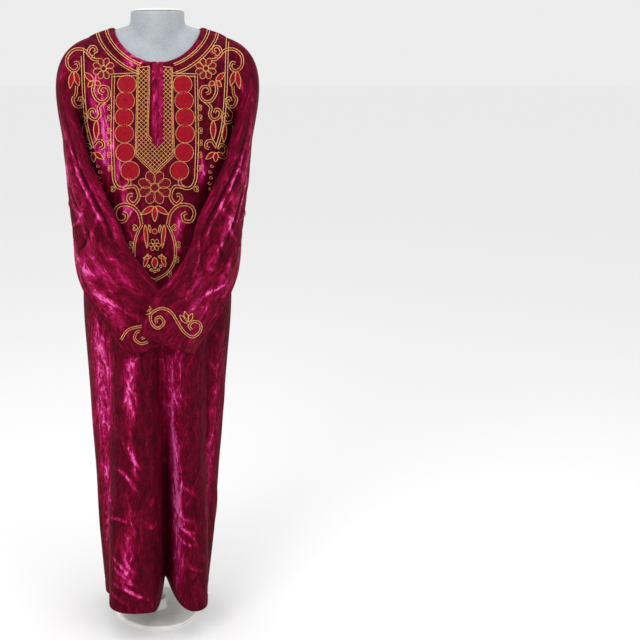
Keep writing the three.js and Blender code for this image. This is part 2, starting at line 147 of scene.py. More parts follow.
def lowerBody(angle, z):  # below the underarm; the angle counts from the front centre
    a = np.radians(angle)
    sin, cos = np.sin(a), np.cos(a)
    depth = np.where(cos > 0, tableColumn(bodySections, "front", z), tableColumn(bodySections, "back", z))
    swell = 1 + tableColumn(bodySections, "square", z) * np.sin(2 * a) ** 2
    x, y, up = tableColumn(bodySections, "half", z) * sin * swell, -depth * cos * swell, z * 1.0
    hip, hem, bust = caftanCut["hip"], caftanCut["hem"], caftanCut["bust"]
    down = smooth((bust - z) / (bust - hip))
    low = np.clip((hip - z) / (hip - hem), 0, 1)
    fade = smooth((caftanCut["underarm"] - z) / (caftanCut["underarm"] - bust))
    lift = smooth((caftanCut["hemLiftTop"] - z) / (caftanCut["hemLiftTop"] - hem))
    inX, inY = -x * np.abs(sin), -y
    size = np.hypot(inX, inY)
    inX, inY = inX / size, inY / size
    for fold in bodyFolds:
        centre = fold["at"] + (fold["hemAt"] - fold["at"]) * low
        away = (angle - centre + 540) % 360 - 180
        spread = np.where(away < 0, fold["left"], fold["right"])
        share = np.exp(-(np.abs(away / spread) ** 1.7))
        full = fold["bust"] + (fold["hip"] - fold["bust"]) * down + (fold["hem"] - fold["hip"]) * low**0.9
        x, y = x + inX * full * fade * share, y + inY * full * fade * share
        up = up + fold["rise"] * lift * share
    return np.stack([x, y, up], -1)


def upperBody(angle, way):  # way runs from 0 at the underarm ring to 1 at the neckline
    a = np.radians(angle)
    sin, cos = np.sin(a), np.cos(a)
    weights = [(1 - way) ** 3, 3 * way * (1 - way) ** 2, 3 * way**2 * (1 - way), way**3]
    total = 0
    for ring, weight in zip(yokeRings, weights):
        endZ = np.where(cos > 0, ring["frontZ"], ring["backZ"])
        depth = np.where(cos > 0, ring["front"], ring["back"])
        z = ring["sideZ"] + (endZ - ring["sideZ"]) * np.abs(cos) ** ring["bend"]
        total = total + np.stack([ring["half"] * sin, -depth * cos, z], -1) * weight[..., None]
    return total


def onBody(angle, level):  # level is a height up to the underarm, then 200 more up to the neckline
    angle, level = np.broadcast_arrays(np.asarray(angle, float), np.asarray(level, float))
    points = np.empty(level.shape + (3,))
    over = level > caftanCut["underarm"]
    points[over] = upperBody(angle[over], (level[over] - caftanCut["underarm"]) / caftanCut["yokeLevels"])
    points[~over] = lowerBody(angle[~over], level[~over])
    return points


def bodyNormal(angle, level):
    side = onBody(angle + 0.4, level) - onBody(angle - 0.4, level)
    up = onBody(angle, level + 1) - onBody(angle, level - 1)
    normal = np.cross(side, up)
    return normal / np.linalg.norm(normal, axis=-1, keepdims=True)


def gridNormals(points, closed=False):
    if closed:
        side = np.roll(points, -1, 1) - np.roll(points, 1, 1)
    else:
        side = np.gradient(points, axis=1)
    normal = np.cross(side, np.gradient(points, axis=0))
    return normal / np.maximum(np.linalg.norm(normal, axis=-1, keepdims=True), 1e-9)


def gridFaces(points, closed=False):
    index = np.arange(points.shape[0] * points.shape[1]).reshape(points.shape[:2])
    here = index if closed else index[:, :-1]
    after = np.roll(index, -1, 1) if closed else index[:, 1:]
    return np.stack([here[:-1], after[:-1], after[1:], here[1:]], -1).reshape(-1, 4)


def newPiece(name, points, faces, material):  # points in millimetres, faces of four corners
    mesh = bpy.data.meshes.new(name)
    mesh.from_pydata((points.reshape(-1, 3) / 1000).tolist(), [], faces.tolist())
    mesh.polygons.foreach_set("use_smooth", np.ones(len(faces), bool))
    mesh.materials.append(material)
    piece = bpy.data.objects.new(name, mesh)
    bpy.context.scene.collection.objects.link(piece)
    return piece


def clothMesh(name, points, material, closed=False, keep=None, paintedSheen=None, thick=None, grain=None):
    faces = gridFaces(points, closed)
    if keep is not None:
        faces = faces[keep.reshape(-1)]
    piece = newPiece(name, points, faces, material)
    mesh = piece.data
    if paintedSheen is not None:
        # painted sheen: a painted highlight where above zero, painted shade where below
        layer = mesh.attributes.new("paintedSheen", "FLOAT", "POINT")
        layer.data.foreach_set("value", paintedSheen.reshape(-1).astype(np.float32))
        layer = mesh.attributes.new("grain", "FLOAT_VECTOR", "POINT")  # the pile's own direction is up and down
        own = points / 1000 if grain is None else grain
        layer.data.foreach_set("vector", own.reshape(-1).astype(np.float32))
    if thick:
        edge = piece.modifiers.new("turned edge", "SOLIDIFY")
        edge.thickness, edge.offset, edge.use_rim_only = thick / 1000, -1, True
    return piece


def curveBetween(p0, p1, p2, p3, t):  # runs from p1 to p2, steered by its neighbours
    return 0.5 * (2 * p1 + (p2 - p0) * t + (2 * p0 - 5 * p1 + 4 * p2 - p3) * t**2
                  + (3 * p1 - p0 - 3 * p2 + p3) * t**3)


def drawnPath(path, place, steps=7):  # a smooth line through a few points, laid on the cloth
    control = np.array(path, float)
    control = np.vstack([2 * control[0] - control[1], control, 2 * control[-1] - control[-2]])
    t = np.linspace(0, 1, steps, endpoint=False)[:, None]
    spans = [curveBetween(*four, t) for four in zip(control, control[1:], control[2:], control[3:])]
    line = np.vstack(spans + [control[-2:-1]])
    return place(line[:, 0], line[:, 1])


def nearPath(points, line, reach):  # points within reach of a line, how far off, and how far along it
    inside = np.all((points > line.min(0) - reach) & (points < line.max(0) + reach), axis=1)
    near = np.where(inside)[0]
    away, along = np.full(len(near), 1e9), np.zeros(len(near))
    p = points[near]
    for k in range(len(line) - 1):
        d = line[k + 1] - line[k]
        t = np.clip(((p - line[k]) @ d) / max(d @ d, 1e-9), 0, 1)
        gap = np.linalg.norm(p - line[k] - t[:, None] * d, axis=1)
        closer = gap < away
        away[closer], along[closer] = gap[closer], (k + t[closer]) / (len(line) - 1)
    return near, away, along


def pressCreases(points, creases, place):  # soft ridges and troughs listed one by one; gleam paints a highlight along a crease, and painted shade where it is below zero
    flat = points.reshape(-1, 3)
    height, shine = np.zeros(len(flat)), np.zeros(len(flat))
    for path, width, depth, gleam in creases:
        near, away, along = nearPath(flat, drawnPath(path, place), width * 4)
        taper = np.sin(np.pi * along)
        x = away / width
        height[near] += depth * taper * (np.exp(-x * x) - 0.3 * np.exp(-((x / 2.2) ** 2)))
        shine[near] += gleam * taper * np.exp(-((x / 0.9) ** 2))
    return height.reshape(points.shape[:2]), shine.reshape(points.shape[:2])


def paintSheenBands(points, bands, place):  # long soft bands of painted highlight, laid where the folds face the light
    flat = points.reshape(-1, 3)
    shine = np.zeros(len(flat))
    for path, width, gleam in bands:
        near, away, along = nearPath(flat, drawnPath(path, place), width * 2.5)
        shine[near] += gleam * np.sin(np.pi * np.clip(along, 0.02, 0.98)) ** 0.35 * np.exp(-((away / width) ** 2))
    return shine.reshape(points.shape[:2])


# ---- materials

# crushed velvet: a short polyester pile pressed in all directions, so it turns from wine to pink in random
# patches; its colour also holds painted shade and painted pink highlights, laid on by the painted sheen
velvetLook = {
    "shade": "#3a0110",
    "base": "#5a021c",
    "lit": "#870734",
    "gleam": "#b01f64",
    "bloom": "#e060a4",
    "sheenTint": "#ff2f86",
    "sheen": 0.05,
    "sheenRoughness": 0.3,
    "patchMm": 26,  # size of the pressed patches
    "streakMm": 5.5,  # the pile's own streaks
    "crackMm": 24,  # spacing of the hairline creases where the pile was crushed
    "crackWidth": 0.055,  # share of that spacing
    "stretch": 0.32,  # how much longer than wide the streaks are
    "restingLean": 0.26,  # how much the random patches show where no sheen is painted, and the painted sheen's own weight
    "pileHeightMm": 1.2,
    "stops": [(0.0, "shade"), (0.16, "base"), (0.4, "lit"), (0.68, "gleam"), (1.0, "bloom")],
}


def crushedVelvet(name, look):
    material = newMaterial(name)
    place = addNode(material, "ShaderNodeAttribute", {"attribute_name": "grain"}).outputs["Vector"]
    stretched = addNode(material, "ShaderNodeMapping", {"Scale": (1, 1, look["stretch"])},
                        {"Vector": place}).outputs[0]
    patches = addNode(material, "ShaderNodeTexNoise",
                      {"Scale": 1000 / look["patchMm"], "Detail": 5.0, "Roughness": 0.62, "Distortion": 1.8},
                      {"Vector": stretched}).outputs[0]
    streaks = addNode(material, "ShaderNodeTexNoise",
                      {"Scale": 1000 / look["streakMm"], "Detail": 3.0, "Roughness": 0.6, "Distortion": 1.4},
                      {"Vector": stretched}).outputs[0]
    bent = addNode(material, "ShaderNodeTexNoise", {"Scale": 900 / look["crackMm"], "Detail": 2.0},
                   {"Vector": stretched}).outputs["Color"]
    moved = addNode(material, "ShaderNodeVectorMath", {"operation": "MULTIPLY_ADD", 1: (0.02, 0.02, 0.02)},
                    {0: bent, 2: stretched}).outputs[0]
    cells = addNode(material, "ShaderNodeTexVoronoi",
                    {"feature": "DISTANCE_TO_EDGE", "Scale": 1000 / look["crackMm"]},
                    {"Vector": moved}).outputs["Distance"]
    cracks = addNode(material, "ShaderNodeMapRange",
                     {"From Min": 0.0, "From Max": look["crackWidth"], "To Min": 1.0, "To Max": 0.0},
                     {"Value": cells}).outputs[0]
    # painted highlight and painted shade, carried on the cloth as a point attribute
    paintedSheen = addNode(material, "ShaderNodeAttribute", {"attribute_name": "paintedSheen"}).outputs["Fac"]
    some = addNode(material, "ShaderNodeMapRange", {"From Min": 0.5, "From Max": 0.62},
                   {"Value": patches}).outputs[0]
    sharp = addNode(material, "ShaderNodeMath", {"operation": "MULTIPLY"}, {0: cracks, 1: some}).outputs[0]
    both = addNode(material, "ShaderNodeMath", {"operation": "ADD"}, {0: patches, 1: streaks}).outputs[0]
    pile = addNode(material, "ShaderNodeMapRange", {"From Min": 0.82, "From Max": 1.32},
                   {"Value": both}).outputs[0]
    lively = addNode(material, "ShaderNodeMath", {"operation": "MULTIPLY_ADD", 1: 0.8},
                     {0: sharp, 2: pile}).outputs[0]
    paintedSheenLevel = addNode(material, "ShaderNodeMath", {"operation": "MULTIPLY_ADD", 1: 1.0, 2: look["restingLean"]},
                   {0: paintedSheen}).outputs[0]
    turned = addNode(material, "ShaderNodeMath", {"operation": "MULTIPLY"}, {0: lively, 1: paintedSheenLevel}).outputs[0]
    spread = addNode(material, "ShaderNodeMath",
                     {"operation": "MULTIPLY_ADD", "use_clamp": True, 1: look["restingLean"]},
                     {0: paintedSheen, 2: turned}).outputs[0]
    # base colour runs from painted shade through wine to a painted pink highlight
    colour = addNode(material, "ShaderNodeValToRGB", {}, {"Fac": spread})
    ramp = colour.color_ramp.elements
    while len(ramp) < len(look["stops"]):
        ramp.new(0.5)
    for element, (at, key) in zip(ramp, look["stops"]):
        element.position, element.color = at, toLinear(look[key])
    metal = addNode(material, "ShaderNodeMapRange", {"To Min": 0.0, "To Max": 0.3}, {"Value": spread}).outputs[0]
    rough = addNode(material, "ShaderNodeMapRange", {"To Min": 0.7, "To Max": 0.45}, {"Value": spread}).outputs[0]
    bump = addNode(material, "ShaderNodeBump", {"Strength": 0.7, "Distance": look["pileHeightMm"] / 1000},
                   {"Height": lively}).outputs[0]
    surface = addNode(material, "ShaderNodeBsdfPrincipled",
                      {"Sheen Weight": look["sheen"], "Sheen Roughness": look["sheenRoughness"],
                       "Sheen Tint": toLinear(look["sheenTint"]), "Specular IOR Level": 0.04},
                      {"Base Color": colour.outputs[0], "Metallic": metal, "Roughness": rough, "Normal": bump})
    addNode(material, "ShaderNodeOutputMaterial", {}, {"Surface": surface.outputs[0]})
    return material


velvet = crushedVelvet("crushed velvet", velvetLook)

# embroidery thread, rayon and metallised polyester: smooth filaments, so each stitch has its own glint
threadLook = {
    "gold": {"dark": "#dc8c3a", "light": "#ffd08a", "metal": 0.15, "rough": 0.38, "gloss": 0.4},
    "red": {"dark": "#6a0413", "light": "#9a0a20", "metal": 0.0, "rough": 0.6, "gloss": 0.08},
    "wine": {"dark": "#460210", "light": "#74081e", "metal": 0.0, "rough": 0.6, "gloss": 0.08},
    "tuftMm": 2.2,
}


def stitchThread(name, look):
    material = newMaterial(name)
    place = addNode(material, "ShaderNodeTexCoord").outputs["Object"]
    tufts = addNode(material, "ShaderNodeTexNoise", {"Scale": 1000 / threadLook["tuftMm"], "Detail": 2.0},
                    {"Vector": place}).outputs[0]
    colour = addNode(material, "ShaderNodeValToRGB", {}, {"Fac": tufts})
    colour.color_ramp.elements[0].position, colour.color_ramp.elements[0].color = 0.34, toLinear(look["dark"])
    colour.color_ramp.elements[1].position, colour.color_ramp.elements[1].color = 0.56, toLinear(look["light"])
    bump = addNode(material, "ShaderNodeBump", {"Strength": 0.4, "Distance": 0.0003},
                   {"Height": tufts}).outputs[0]
    surface = addNode(material, "ShaderNodeBsdfPrincipled",
                      {"Metallic": look["metal"], "Roughness": look["rough"],
                       "Specular IOR Level": look["gloss"]},
                      {"Base Color": colour.outputs[0], "Normal": bump})
    addNode(material, "ShaderNodeOutputMaterial", {}, {"Surface": surface.outputs[0]})
    return material


goldThread = stitchThread("gold chain stitch thread", threadLook["gold"])
redThread = stitchThread("red satin stitch thread", threadLook["red"])
wineThread = stitchThread("wine satin stitch thread", threadLook["wine"])

# cotton jersey stretched over the form: matt grey with the fine wales of a knit
jerseyLook = {"light": "#a9aeb2", "dark": "#8b9197", "waleMm": 1.8}


def knittedJersey(name, look):
    material = newMaterial(name)
    place = addNode(material, "ShaderNodeTexCoord").outputs["Object"]
    wales = addNode(material, "ShaderNodeTexNoise", {"Scale": 1000 / look["waleMm"], "Detail": 3.0},
                    {"Vector": place}).outputs[0]
    clouds = addNode(material, "ShaderNodeTexNoise", {"Scale": 30.0, "Detail": 3.0}, {"Vector": place}).outputs[0]
    mixed = addNode(material, "ShaderNodeMath", {"operation": "MULTIPLY_ADD", 1: 0.5},
                    {0: clouds, 2: wales}).outputs[0]
    colour = addNode(material, "ShaderNodeValToRGB", {}, {"Fac": mixed})
    colour.color_ramp.elements[0].position, colour.color_ramp.elements[0].color = 0.5, toLinear(look["dark"])
    colour.color_ramp.elements[1].position, colour.color_ramp.elements[1].color = 0.95, toLinear(look["light"])
    bump = addNode(material, "ShaderNodeBump", {"Strength": 0.5, "Distance": 0.0006},
                   {"Height": wales}).outputs[0]
    surface = addNode(material, "ShaderNodeBsdfPrincipled",
                      {"Roughness": 0.9, "Sheen Weight": 0.25, "Sheen Roughness": 0.5},
                      {"Base Color": colour.outputs[0], "Normal": bump})
    addNode(material, "ShaderNodeOutputMaterial", {}, {"Surface": surface.outputs[0]})
    return material


jersey = knittedJersey("cotton jersey", jerseyLook)

# powder-coated steel: warm white with a slight orange peel that softens its highlights
coatLook = {"coat": "#e9e8e4", "worn": "#d9d8d2", "peelMm": 2.2}


def powderCoat(name, look):
    material = newMaterial(name)
    place = addNode(material, "ShaderNodeTexCoord").outputs["Object"]
    peel = addNode(material, "ShaderNodeTexNoise", {"Scale": 1000 / look["peelMm"], "Detail": 2.0},
                   {"Vector": place}).outputs[0]
    rubbed = addNode(material, "ShaderNodeTexNoise", {"Scale": 24.0, "Detail": 5.0}, {"Vector": place}).outputs[0]
    colour = addNode(material, "ShaderNodeValToRGB", {}, {"Fac": rubbed})
    colour.color_ramp.elements[0].position, colour.color_ramp.elements[0].color = 0.35, toLinear(look["worn"])
    colour.color_ramp.elements[1].position, colour.color_ramp.elements[1].color = 0.6, toLinear(look["coat"])
    rough = addNode(material, "ShaderNodeMapRange", {"To Min": 0.34, "To Max": 0.5}, {"Value": rubbed}).outputs[0]
    bump = addNode(material, "ShaderNodeBump", {"Strength": 0.25, "Distance": 0.0003},
                   {"Height": peel}).outputs[0]
    surface = addNode(material, "ShaderNodeBsdfPrincipled", {},
                      {"Base Color": colour.outputs[0], "Roughness": rough, "Normal": bump})
    addNode(material, "ShaderNodeOutputMaterial", {}, {"Surface": surface.outputs[0]})
    return material


whiteSteel = powderCoat("white powder coat", coatLook)
print("materials ready")

# ---- front and back panels


def panelAngles(columns, centre, cutDegrees, levels):  # the angle of each column at each row
    way = np.clip((levels - caftanCut["underarm"]) / caftanCut["yokeLevels"], 0, None)
    side = onBody(np.full(len(levels), centre + 90.0), levels)
    seam = np.degrees(caftanCut["seamGap"] / 2 / np.hypot(side[:, 0], side[:, 1]))
    along = way / (caftanCut["armholeTop"] / 2) - 1
    cut = np.where(way > 0, cutDegrees * np.sqrt(np.clip(1 - along**2, 0, None)), 0)
    half = 90 - np.maximum(seam, cut)
    return centre + half[:, None] * columns[None, :]


def evenColumns(count, centre):  # spaced by the length of the cloth low down, where the folds are deep
    angles = centre + np.linspace(-90, 90, 1441)
    points = lowerBody(angles, np.full(1441, caftanCut["hem"] + 90.0))
    steps = np.linalg.norm(np.diff(points, axis=0), axis=1) + 0.35
    run = np.concatenate([[0], np.cumsum(steps)])
    return np.interp(np.linspace(0, run[-1], count + 1), run, np.linspace(-1, 1, 1441))


frontPress = {
    "rows": 290,
    "yokeRows": 96,
    "columns": 220,
    "creases": [  # path of (angle, level), width, height, gleam
        ([(-27, 489), (-21, 445), (-13, 414)], 4.5, 3.6, 0.9),
        ([(-33, 510), (-28, 470), (-23, 436)], 4, 2.6, 0.5),
        ([(-43, 419), (-29, 405), (-17, 361)], 4, 3.8, 0.9),
        ([(-51, 347), (-47, 330), (-40, 312)], 4, 3.4, 0.7),
        ([(-52, 300), (-47, 322), (-44, 352)], 4, -3, 0.2),
        ([(-51, 285), (-35, 297), (-19, 286)], 4, 3.6, 0.9),
        ([(-30, 225), (-28, 192), (-19, 165)], 4.5, 3.4, 0.8),
        ([(-44, 140), (-28, 127), (-8, 102)], 4.5, 3.4, 0.8),
        ([(-40, 160), (-30, 146), (-15, 140)], 4, 2.6, 0.6),
        ([(-36, 250), (-30, 262), (-20, 250)], 5, -3, 0),
        ([(-9, 330), (-5, 339), (-2, 356)], 4, 3, 0.7),
        ([(20, 374), (28, 365), (37, 348)], 4, 3.4, 0.8),
        ([(4, 416), (11, 405), (15, 378)], 4, 3, 0.6),
        ([(47, 314), (53, 298), (45, 268)], 4, 3.4, 0.7),
        ([(21, 276), (28, 262), (36, 238)], 4, 3, 0.7),
        ([(14, 468), (17, 446), (19, 424)], 3.5, 3, 0.6),
        ([(49, 440), (51, 390), (50, 340)], 5, 3.6, 0.3),
        ([(60, 508), (58, 450), (59, 400)], 5, 3.2, 0.3),
        ([(49, 664), (56, 640), (63, 604)], 4.5, 3, 0.5),
        ([(-47, 532), (-42, 520), (-36, 504)], 4, 2.8, 0.5),
        ([(-61, 672), (-54, 660), (-46, 642)], 4.5, 2.8, 0.5),
        ([(-43, 735), (-44, 640), (-45, 536)], 5, 3.4, 0.5),
        ([(-52, 438), (-53, 390), (-52, 350)], 5, 3.2, 0.4),
        ([(-74, 600), (-70, 520), (-72, 430)], 8, 4, 0.3),
        ([(-72, 330), (-66, 270), (-70, 200)], 7, -3.6, 0),
        ([(72, 640), (76, 560), (73, 470)], 8, 4, 0.2),
        ([(70, 360), (76, 300), (72, 220)], 7, 3.6, 0.2),
        ([(26, 200), (33, 176), (45, 168)], 4.5, 3, 0.5),
        ([(30, 150), (40, 132), (52, 130)], 4.5, -2.6, 0),
        ([(38, 560), (34, 520), (36, 470)], 5, 2.6, 0.2),
        ([(-6, 600), (-8, 540), (-5, 490)], 5, -2.2, 0),
        ([(-20, 620), (-17, 585), (-20, 540)], 4, 2.2, 0.4),
        ([(-40, 1150), (-34, 1100), (-36, 1040)], 8, -3, 0),
        ([(38, 1160), (33, 1110), (36, 1040)], 8, -3, 0),
        ([(-48, 1120), (-40, 1085), (-30, 1070)], 6, 2.6, 0.3),
        ([(50, 1118), (42, 1080), (32, 1062)], 6, 2.6, 0.3),
        ([(-26, 960), (-14, 940), (-4, 948)], 6, 2.4, 0.4),
        ([(-46, 210), (-34, 186), (-22, 150)], 4, 2.8, 0.8),
        ([(-42, 180), (-30, 158), (-18, 128)], 4, 2.8, 0.8),
        ([(-38, 150), (-26, 126), (-14, 108)], 4, 2.6, 0.7),
        ([(-48, 120), (-38, 106), (-26, 92)], 4, 2.4, 0.7),
        ([(14, 330), (22, 300), (34, 288)], 4, 3, 0.8),
        ([(14, 300), (24, 268), (36, 262)], 4, 3, 0.8),
        ([(16, 262), (26, 236), (38, 236)], 4, 2.6, 0.7),
        ([(-12, 300), (-6, 280), (0, 290)], 4, 2.4, 0.6),
        ([(8, 930), (18, 915), (30, 925)], 6, 2.4, 0.4),
        ([(-24, 905), (-15, 890), (-4, 880)], 6, -2.6, 0),
    ],
    "bands": [  # path, width, gleam: painted highlight bands along the lit flanks of the folds
        ([(12, 700), (14, 560), (15, 480), (18, 380), (20, 250), (22, 160), (21, 110)], 22, 1.15),
        ([(-21, 690), (-22.5, 600), (-23, 530)], 13, 1.1),
        ([(-24, 520), (-21, 440), (-18, 400)], 6, 0.6),
        ([(-25, 350), (-24, 290), (-27, 220), (-26, 150)], 14, 0.42),
        ([(-58, 760), (-55, 640), (-56, 500)], 24, 0.9),
        ([(-58, 520), (-57, 400), (-56, 250), (-52, 120)], 16, 0.6),
        ([(62, 700), (62, 560), (60, 420), (56, 250)], 14, 0.45),
        ([(-46, 1290), (-45, 1240), (-46, 1180), (-45, 1125), (-42, 1080)], 24, 1.0),
        ([(-32, 1140), (-31, 1110), (-32, 1075)], 8, 0.9),
        ([(36, 1110), (37, 1080), (36, 1050)], 8, 0.7),
        ([(-28, 1060), (-24, 1010), (-20, 960)], 12, 0.6),
        ([(20, 1000), (17, 960), (14, 930)], 10, 0.7),
        ([(-34, 1352), (-26, 1345), (-16, 1342)], 12, 0.8),
        ([(56, 1340), (52, 1310)], 14, 0.25),
    ],
}
backPress = {
    "rows": 210,
    "yokeRows": 70,
    "columns": 150,
    "creases": [
        ([(150, 620), (157, 540), (153, 440)], 7, 3.8, 0.5),
        ([(208, 660), (203, 560), (207, 470)], 7, 3.6, 0.5),
        ([(168, 500), (160, 470), (150, 462)], 5, 3, 0.6),
        ([(196, 430), (204, 400), (214, 392)], 5, 3, 0.6),
        ([(190, 330), (199, 300), (211, 296)], 5, 3.2, 0.7),
        ([(165, 290), (157, 262), (146, 255)], 5, 3.2, 0.7),
        ([(172, 210), (163, 180), (149, 172)], 5, -3, 0),
        ([(192, 180), (201, 152), (214, 148)], 5, 3, 0.6),
        ([(128, 380), (122, 320), (126, 240)], 6, 3.4, 0.4),
        ([(232, 400), (238, 330), (233, 250)], 6, 3.4, 0.4),
        ([(110, 640), (106, 540), (109, 420)], 7, 3.2, 0.3),
        ([(250, 640), (254, 540), (250, 440)], 7, 3.2, 0.3),
        ([(160, 900), (180, 885), (200, 905)], 9, -3.2, 0),
        ([(155, 940), (178, 928), (204, 944)], 8, 2.8, 0.4),
        ([(150, 870), (168, 850), (178, 856)], 7, 2.6, 0.3),
        ([(186, 846), (200, 838), (214, 852)], 7, 2.6, 0.3),
        ([(140, 1090), (146, 1030), (150, 960)], 9, 3.2, 0.4),
        ([(220, 1090), (214, 1030), (210, 960)], 9, 3.2, 0.4),
        ([(126, 1200), (134, 1150), (140, 1100)], 8, -3, 0),
        ([(234, 1200), (226, 1150), (220, 1100)], 8, -3, 0),
    ],
    # path, width, gleam: painted highlight bands
    "bands": [
        ([(158, 760), (160, 560), (156, 380), (158, 180)], 18, 0.8),
        ([(202, 760), (200, 580), (204, 400), (201, 190)], 18, 0.8),
        ([(125, 720), (122, 520), (124, 300)], 20, 0.6),
        ([(236, 720), (238, 520), (236, 300)], 20, 0.6),
        ([(150, 1180), (152, 1080), (156, 980)], 30, 0.6),
        ([(210, 1180), (208, 1080), (204, 980)], 30, 0.6),
        ([(160, 1310), (180, 1290), (200, 1310)], 30, 0.5),
    ],
}


def panelRows(press):
    underarm = caftanCut["underarm"]
    low = np.linspace(caftanCut["hem"], underarm, press["rows"], endpoint=False)
    return np.concatenate([low, np.linspace(underarm, underarm + caftanCut["yokeLevels"], press["yokeRows"])])


panelSeams = {"mmPerDegree": 2.6, "seamDraw": 1.4, "seamWide": 3.0, "hemDeep": 24, "hemRise": 0.7,
              "stitchSink": 0.8, "stitchWide": 2.5}


def wearPanel(points, angles, levels, centre, press):
    normals = gridNormals(points)
    height, shine = pressCreases(points, press["creases"], onBody)
    shine += paintSheenBands(points, press["bands"], onBody)
    sewn, hemTop = panelSeams, caftanCut["hem"] + panelSeams["hemDeep"]
    sideGap = (90 - np.abs(angles - centre)) * sewn["mmPerDegree"]  # mm from the side seam
    below = levels[:, None] < caftanCut["underarm"] + 2
    height -= np.where(below, sewn["seamDraw"] * np.exp(-((sideGap / sewn["seamWide"]) ** 2)), 0)  # draws in
    height += sewn["hemRise"] * smooth((hemTop - levels[:, None]) / 3)  # the hem is turned up
    stitchGap = (levels[:, None] - hemTop) / sewn["stitchWide"]
    height -= sewn["stitchSink"] * np.exp(-(stitchGap**2))  # and its stitch line sinks in
    return points + normals * height[..., None], shine


levels = panelRows(frontPress)
columns = evenColumns(frontPress["columns"], 0)
widths = np.array([-12, -10, -8, -6.5, -4.6, -2.8, -1.3, 1.3, 2.8, 4.6, 6.5, 8, 10, 12], float)
sideColumns = [columns[columns * 90 < -7], columns[columns * 90 > 7]]
halfWidth = onBody(np.full(len(levels), 90.0), levels)[:, 0]
frontAngles = np.concatenate([
    panelAngles(sideColumns[0], 0, caftanCut["armholeFront"], levels),
    np.degrees(np.arcsin(widths[None, :] / halfWidth[:, None])),
    panelAngles(sideColumns[1], 0, caftanCut["armholeFront"], levels),
], axis=1)
frontPoints = onBody(frontAngles, levels[:, None] + 0 * frontAngles)
frontPoints, frontShine = wearPanel(frontPoints, frontAngles, levels, 0, frontPress)
keep = np.ones((len(levels) - 1, frontAngles.shape[1] - 1), bool)
slitColumn = len(sideColumns[0]) + 6
keep[levels[:-1] >= caftanCut["slitFoot"], slitColumn] = False
front = clothMesh("front_cloth", frontPoints, velvet, keep=keep, paintedSheen=frontShine, thick=caftanCut["thick"])
print("front panel", len(front.data.polygons))

backLevels = panelRows(backPress)
backAngles = panelAngles(evenColumns(backPress["columns"], 180), 180, caftanCut["armholeBack"], backLevels)
backPoints = onBody(backAngles, backLevels[:, None] + 0 * backAngles)
backPoints, backShine = wearPanel(backPoints, backAngles, backLevels, 180, backPress)
back = clothMesh("back_cloth", backPoints, velvet, paintedSheen=backShine, thick=caftanCut["thick"])
print("back panel", len(back.data.polygons))

# ---- sleeves

sleevePress = {
    "rest": 3.5,
    "liftFrom": 56,
    "liftTo": 79,
    "grooves": [(48, 17, 5.5), (88, 15, 6.5), (128, 16, 5)],  # at, spread, depth
    "stations": 156,
    "headRows": 44,
    "armRows": 250,
    "headTurn": {"out": 110, "outTop": 205, "outLow": 70, "spread": 22, "fall": 50, "fallTop": 45},
    "headMm": 45,  # length of the sleeve head, for the easing at its seam
    "pucker": 0.5,
    "cuffFold": 9.65,  # the way at which the turned cuff starts
    "cuffStitch": 9.62,
    "cuffRise": 0.6,
    "cuffSink": 0.7,
    "tubeMetres": 0.05,  # half width of the tube that the pile's grain is laid on
    # painted sheen laid evenly over the sleeves
    "plainShine": 0.1,
}


def aroundBody(angle, z, off):  # the angle counts from the side towards the front
    a = np.radians(angle)
    half = tableColumn(bodySections, "half", z)
    depth = np.where(angle > 0, tableColumn(bodySections, "front", z), tableColumn(bodySections, "back", z))
    nx, ny = np.cos(a) / half, -np.sin(a) / depth
    size = np.hypot(nx, ny)
    return np.stack([half * np.cos(a) + off * nx / size, -depth * np.sin(a) + off * ny / size, z], -1)


def sleeveRing(way, turn, spec):  # turn is the angle in the sleeve's section, in degrees
    r = np.radians(turn)
    value = lambda key: tableColumn(sleeveSections, key, way)
    end = smooth((way - 4) / 6)
    share = (1 + np.cos(r)) / 2
    angle = value("backAngle") + (value("frontAngle") - value("backAngle")) * share + spec["reach"] * end
    z = value("backZ") + (value("frontZ") - value("backZ")) * share - spec["drop"] * end
    bulge = np.sign(np.sin(r)) * np.abs(np.sin(r)) ** 0.75
    over = smooth((angle - sleevePress["liftFrom"]) / (sleevePress["liftTo"] - sleevePress["liftFrom"]))
    off = sleevePress["rest"] + value("thick") / 2 * (1 + bulge) + spec["lift"] * over
    for at, spread, depth in sleevePress["grooves"]:
        away = (turn - at - way * 1.5) / spread
        off = off - depth * smooth(way / 2 + 0.3) * (1 - 0.6 * end) * np.exp(-(away**2))
    return aroundBody(angle, z, off)


def armholeEdge(turn, shrink):
    r = np.radians(turn)
    cut = np.cos(r) * np.where(np.cos(r) > 0, caftanCut["armholeFront"], caftanCut["armholeBack"])
    top = caftanCut["armholeTop"] / 2
    point = upperBody(90 - cut, top * (1 + np.sin(r)))
    centre = upperBody(np.array([90.0]), np.array([top]))
    inward = (centre - point) * [0, 1, 1]
    return point + shrink * inward / np.linalg.norm(inward, axis=-1, keepdims=True)


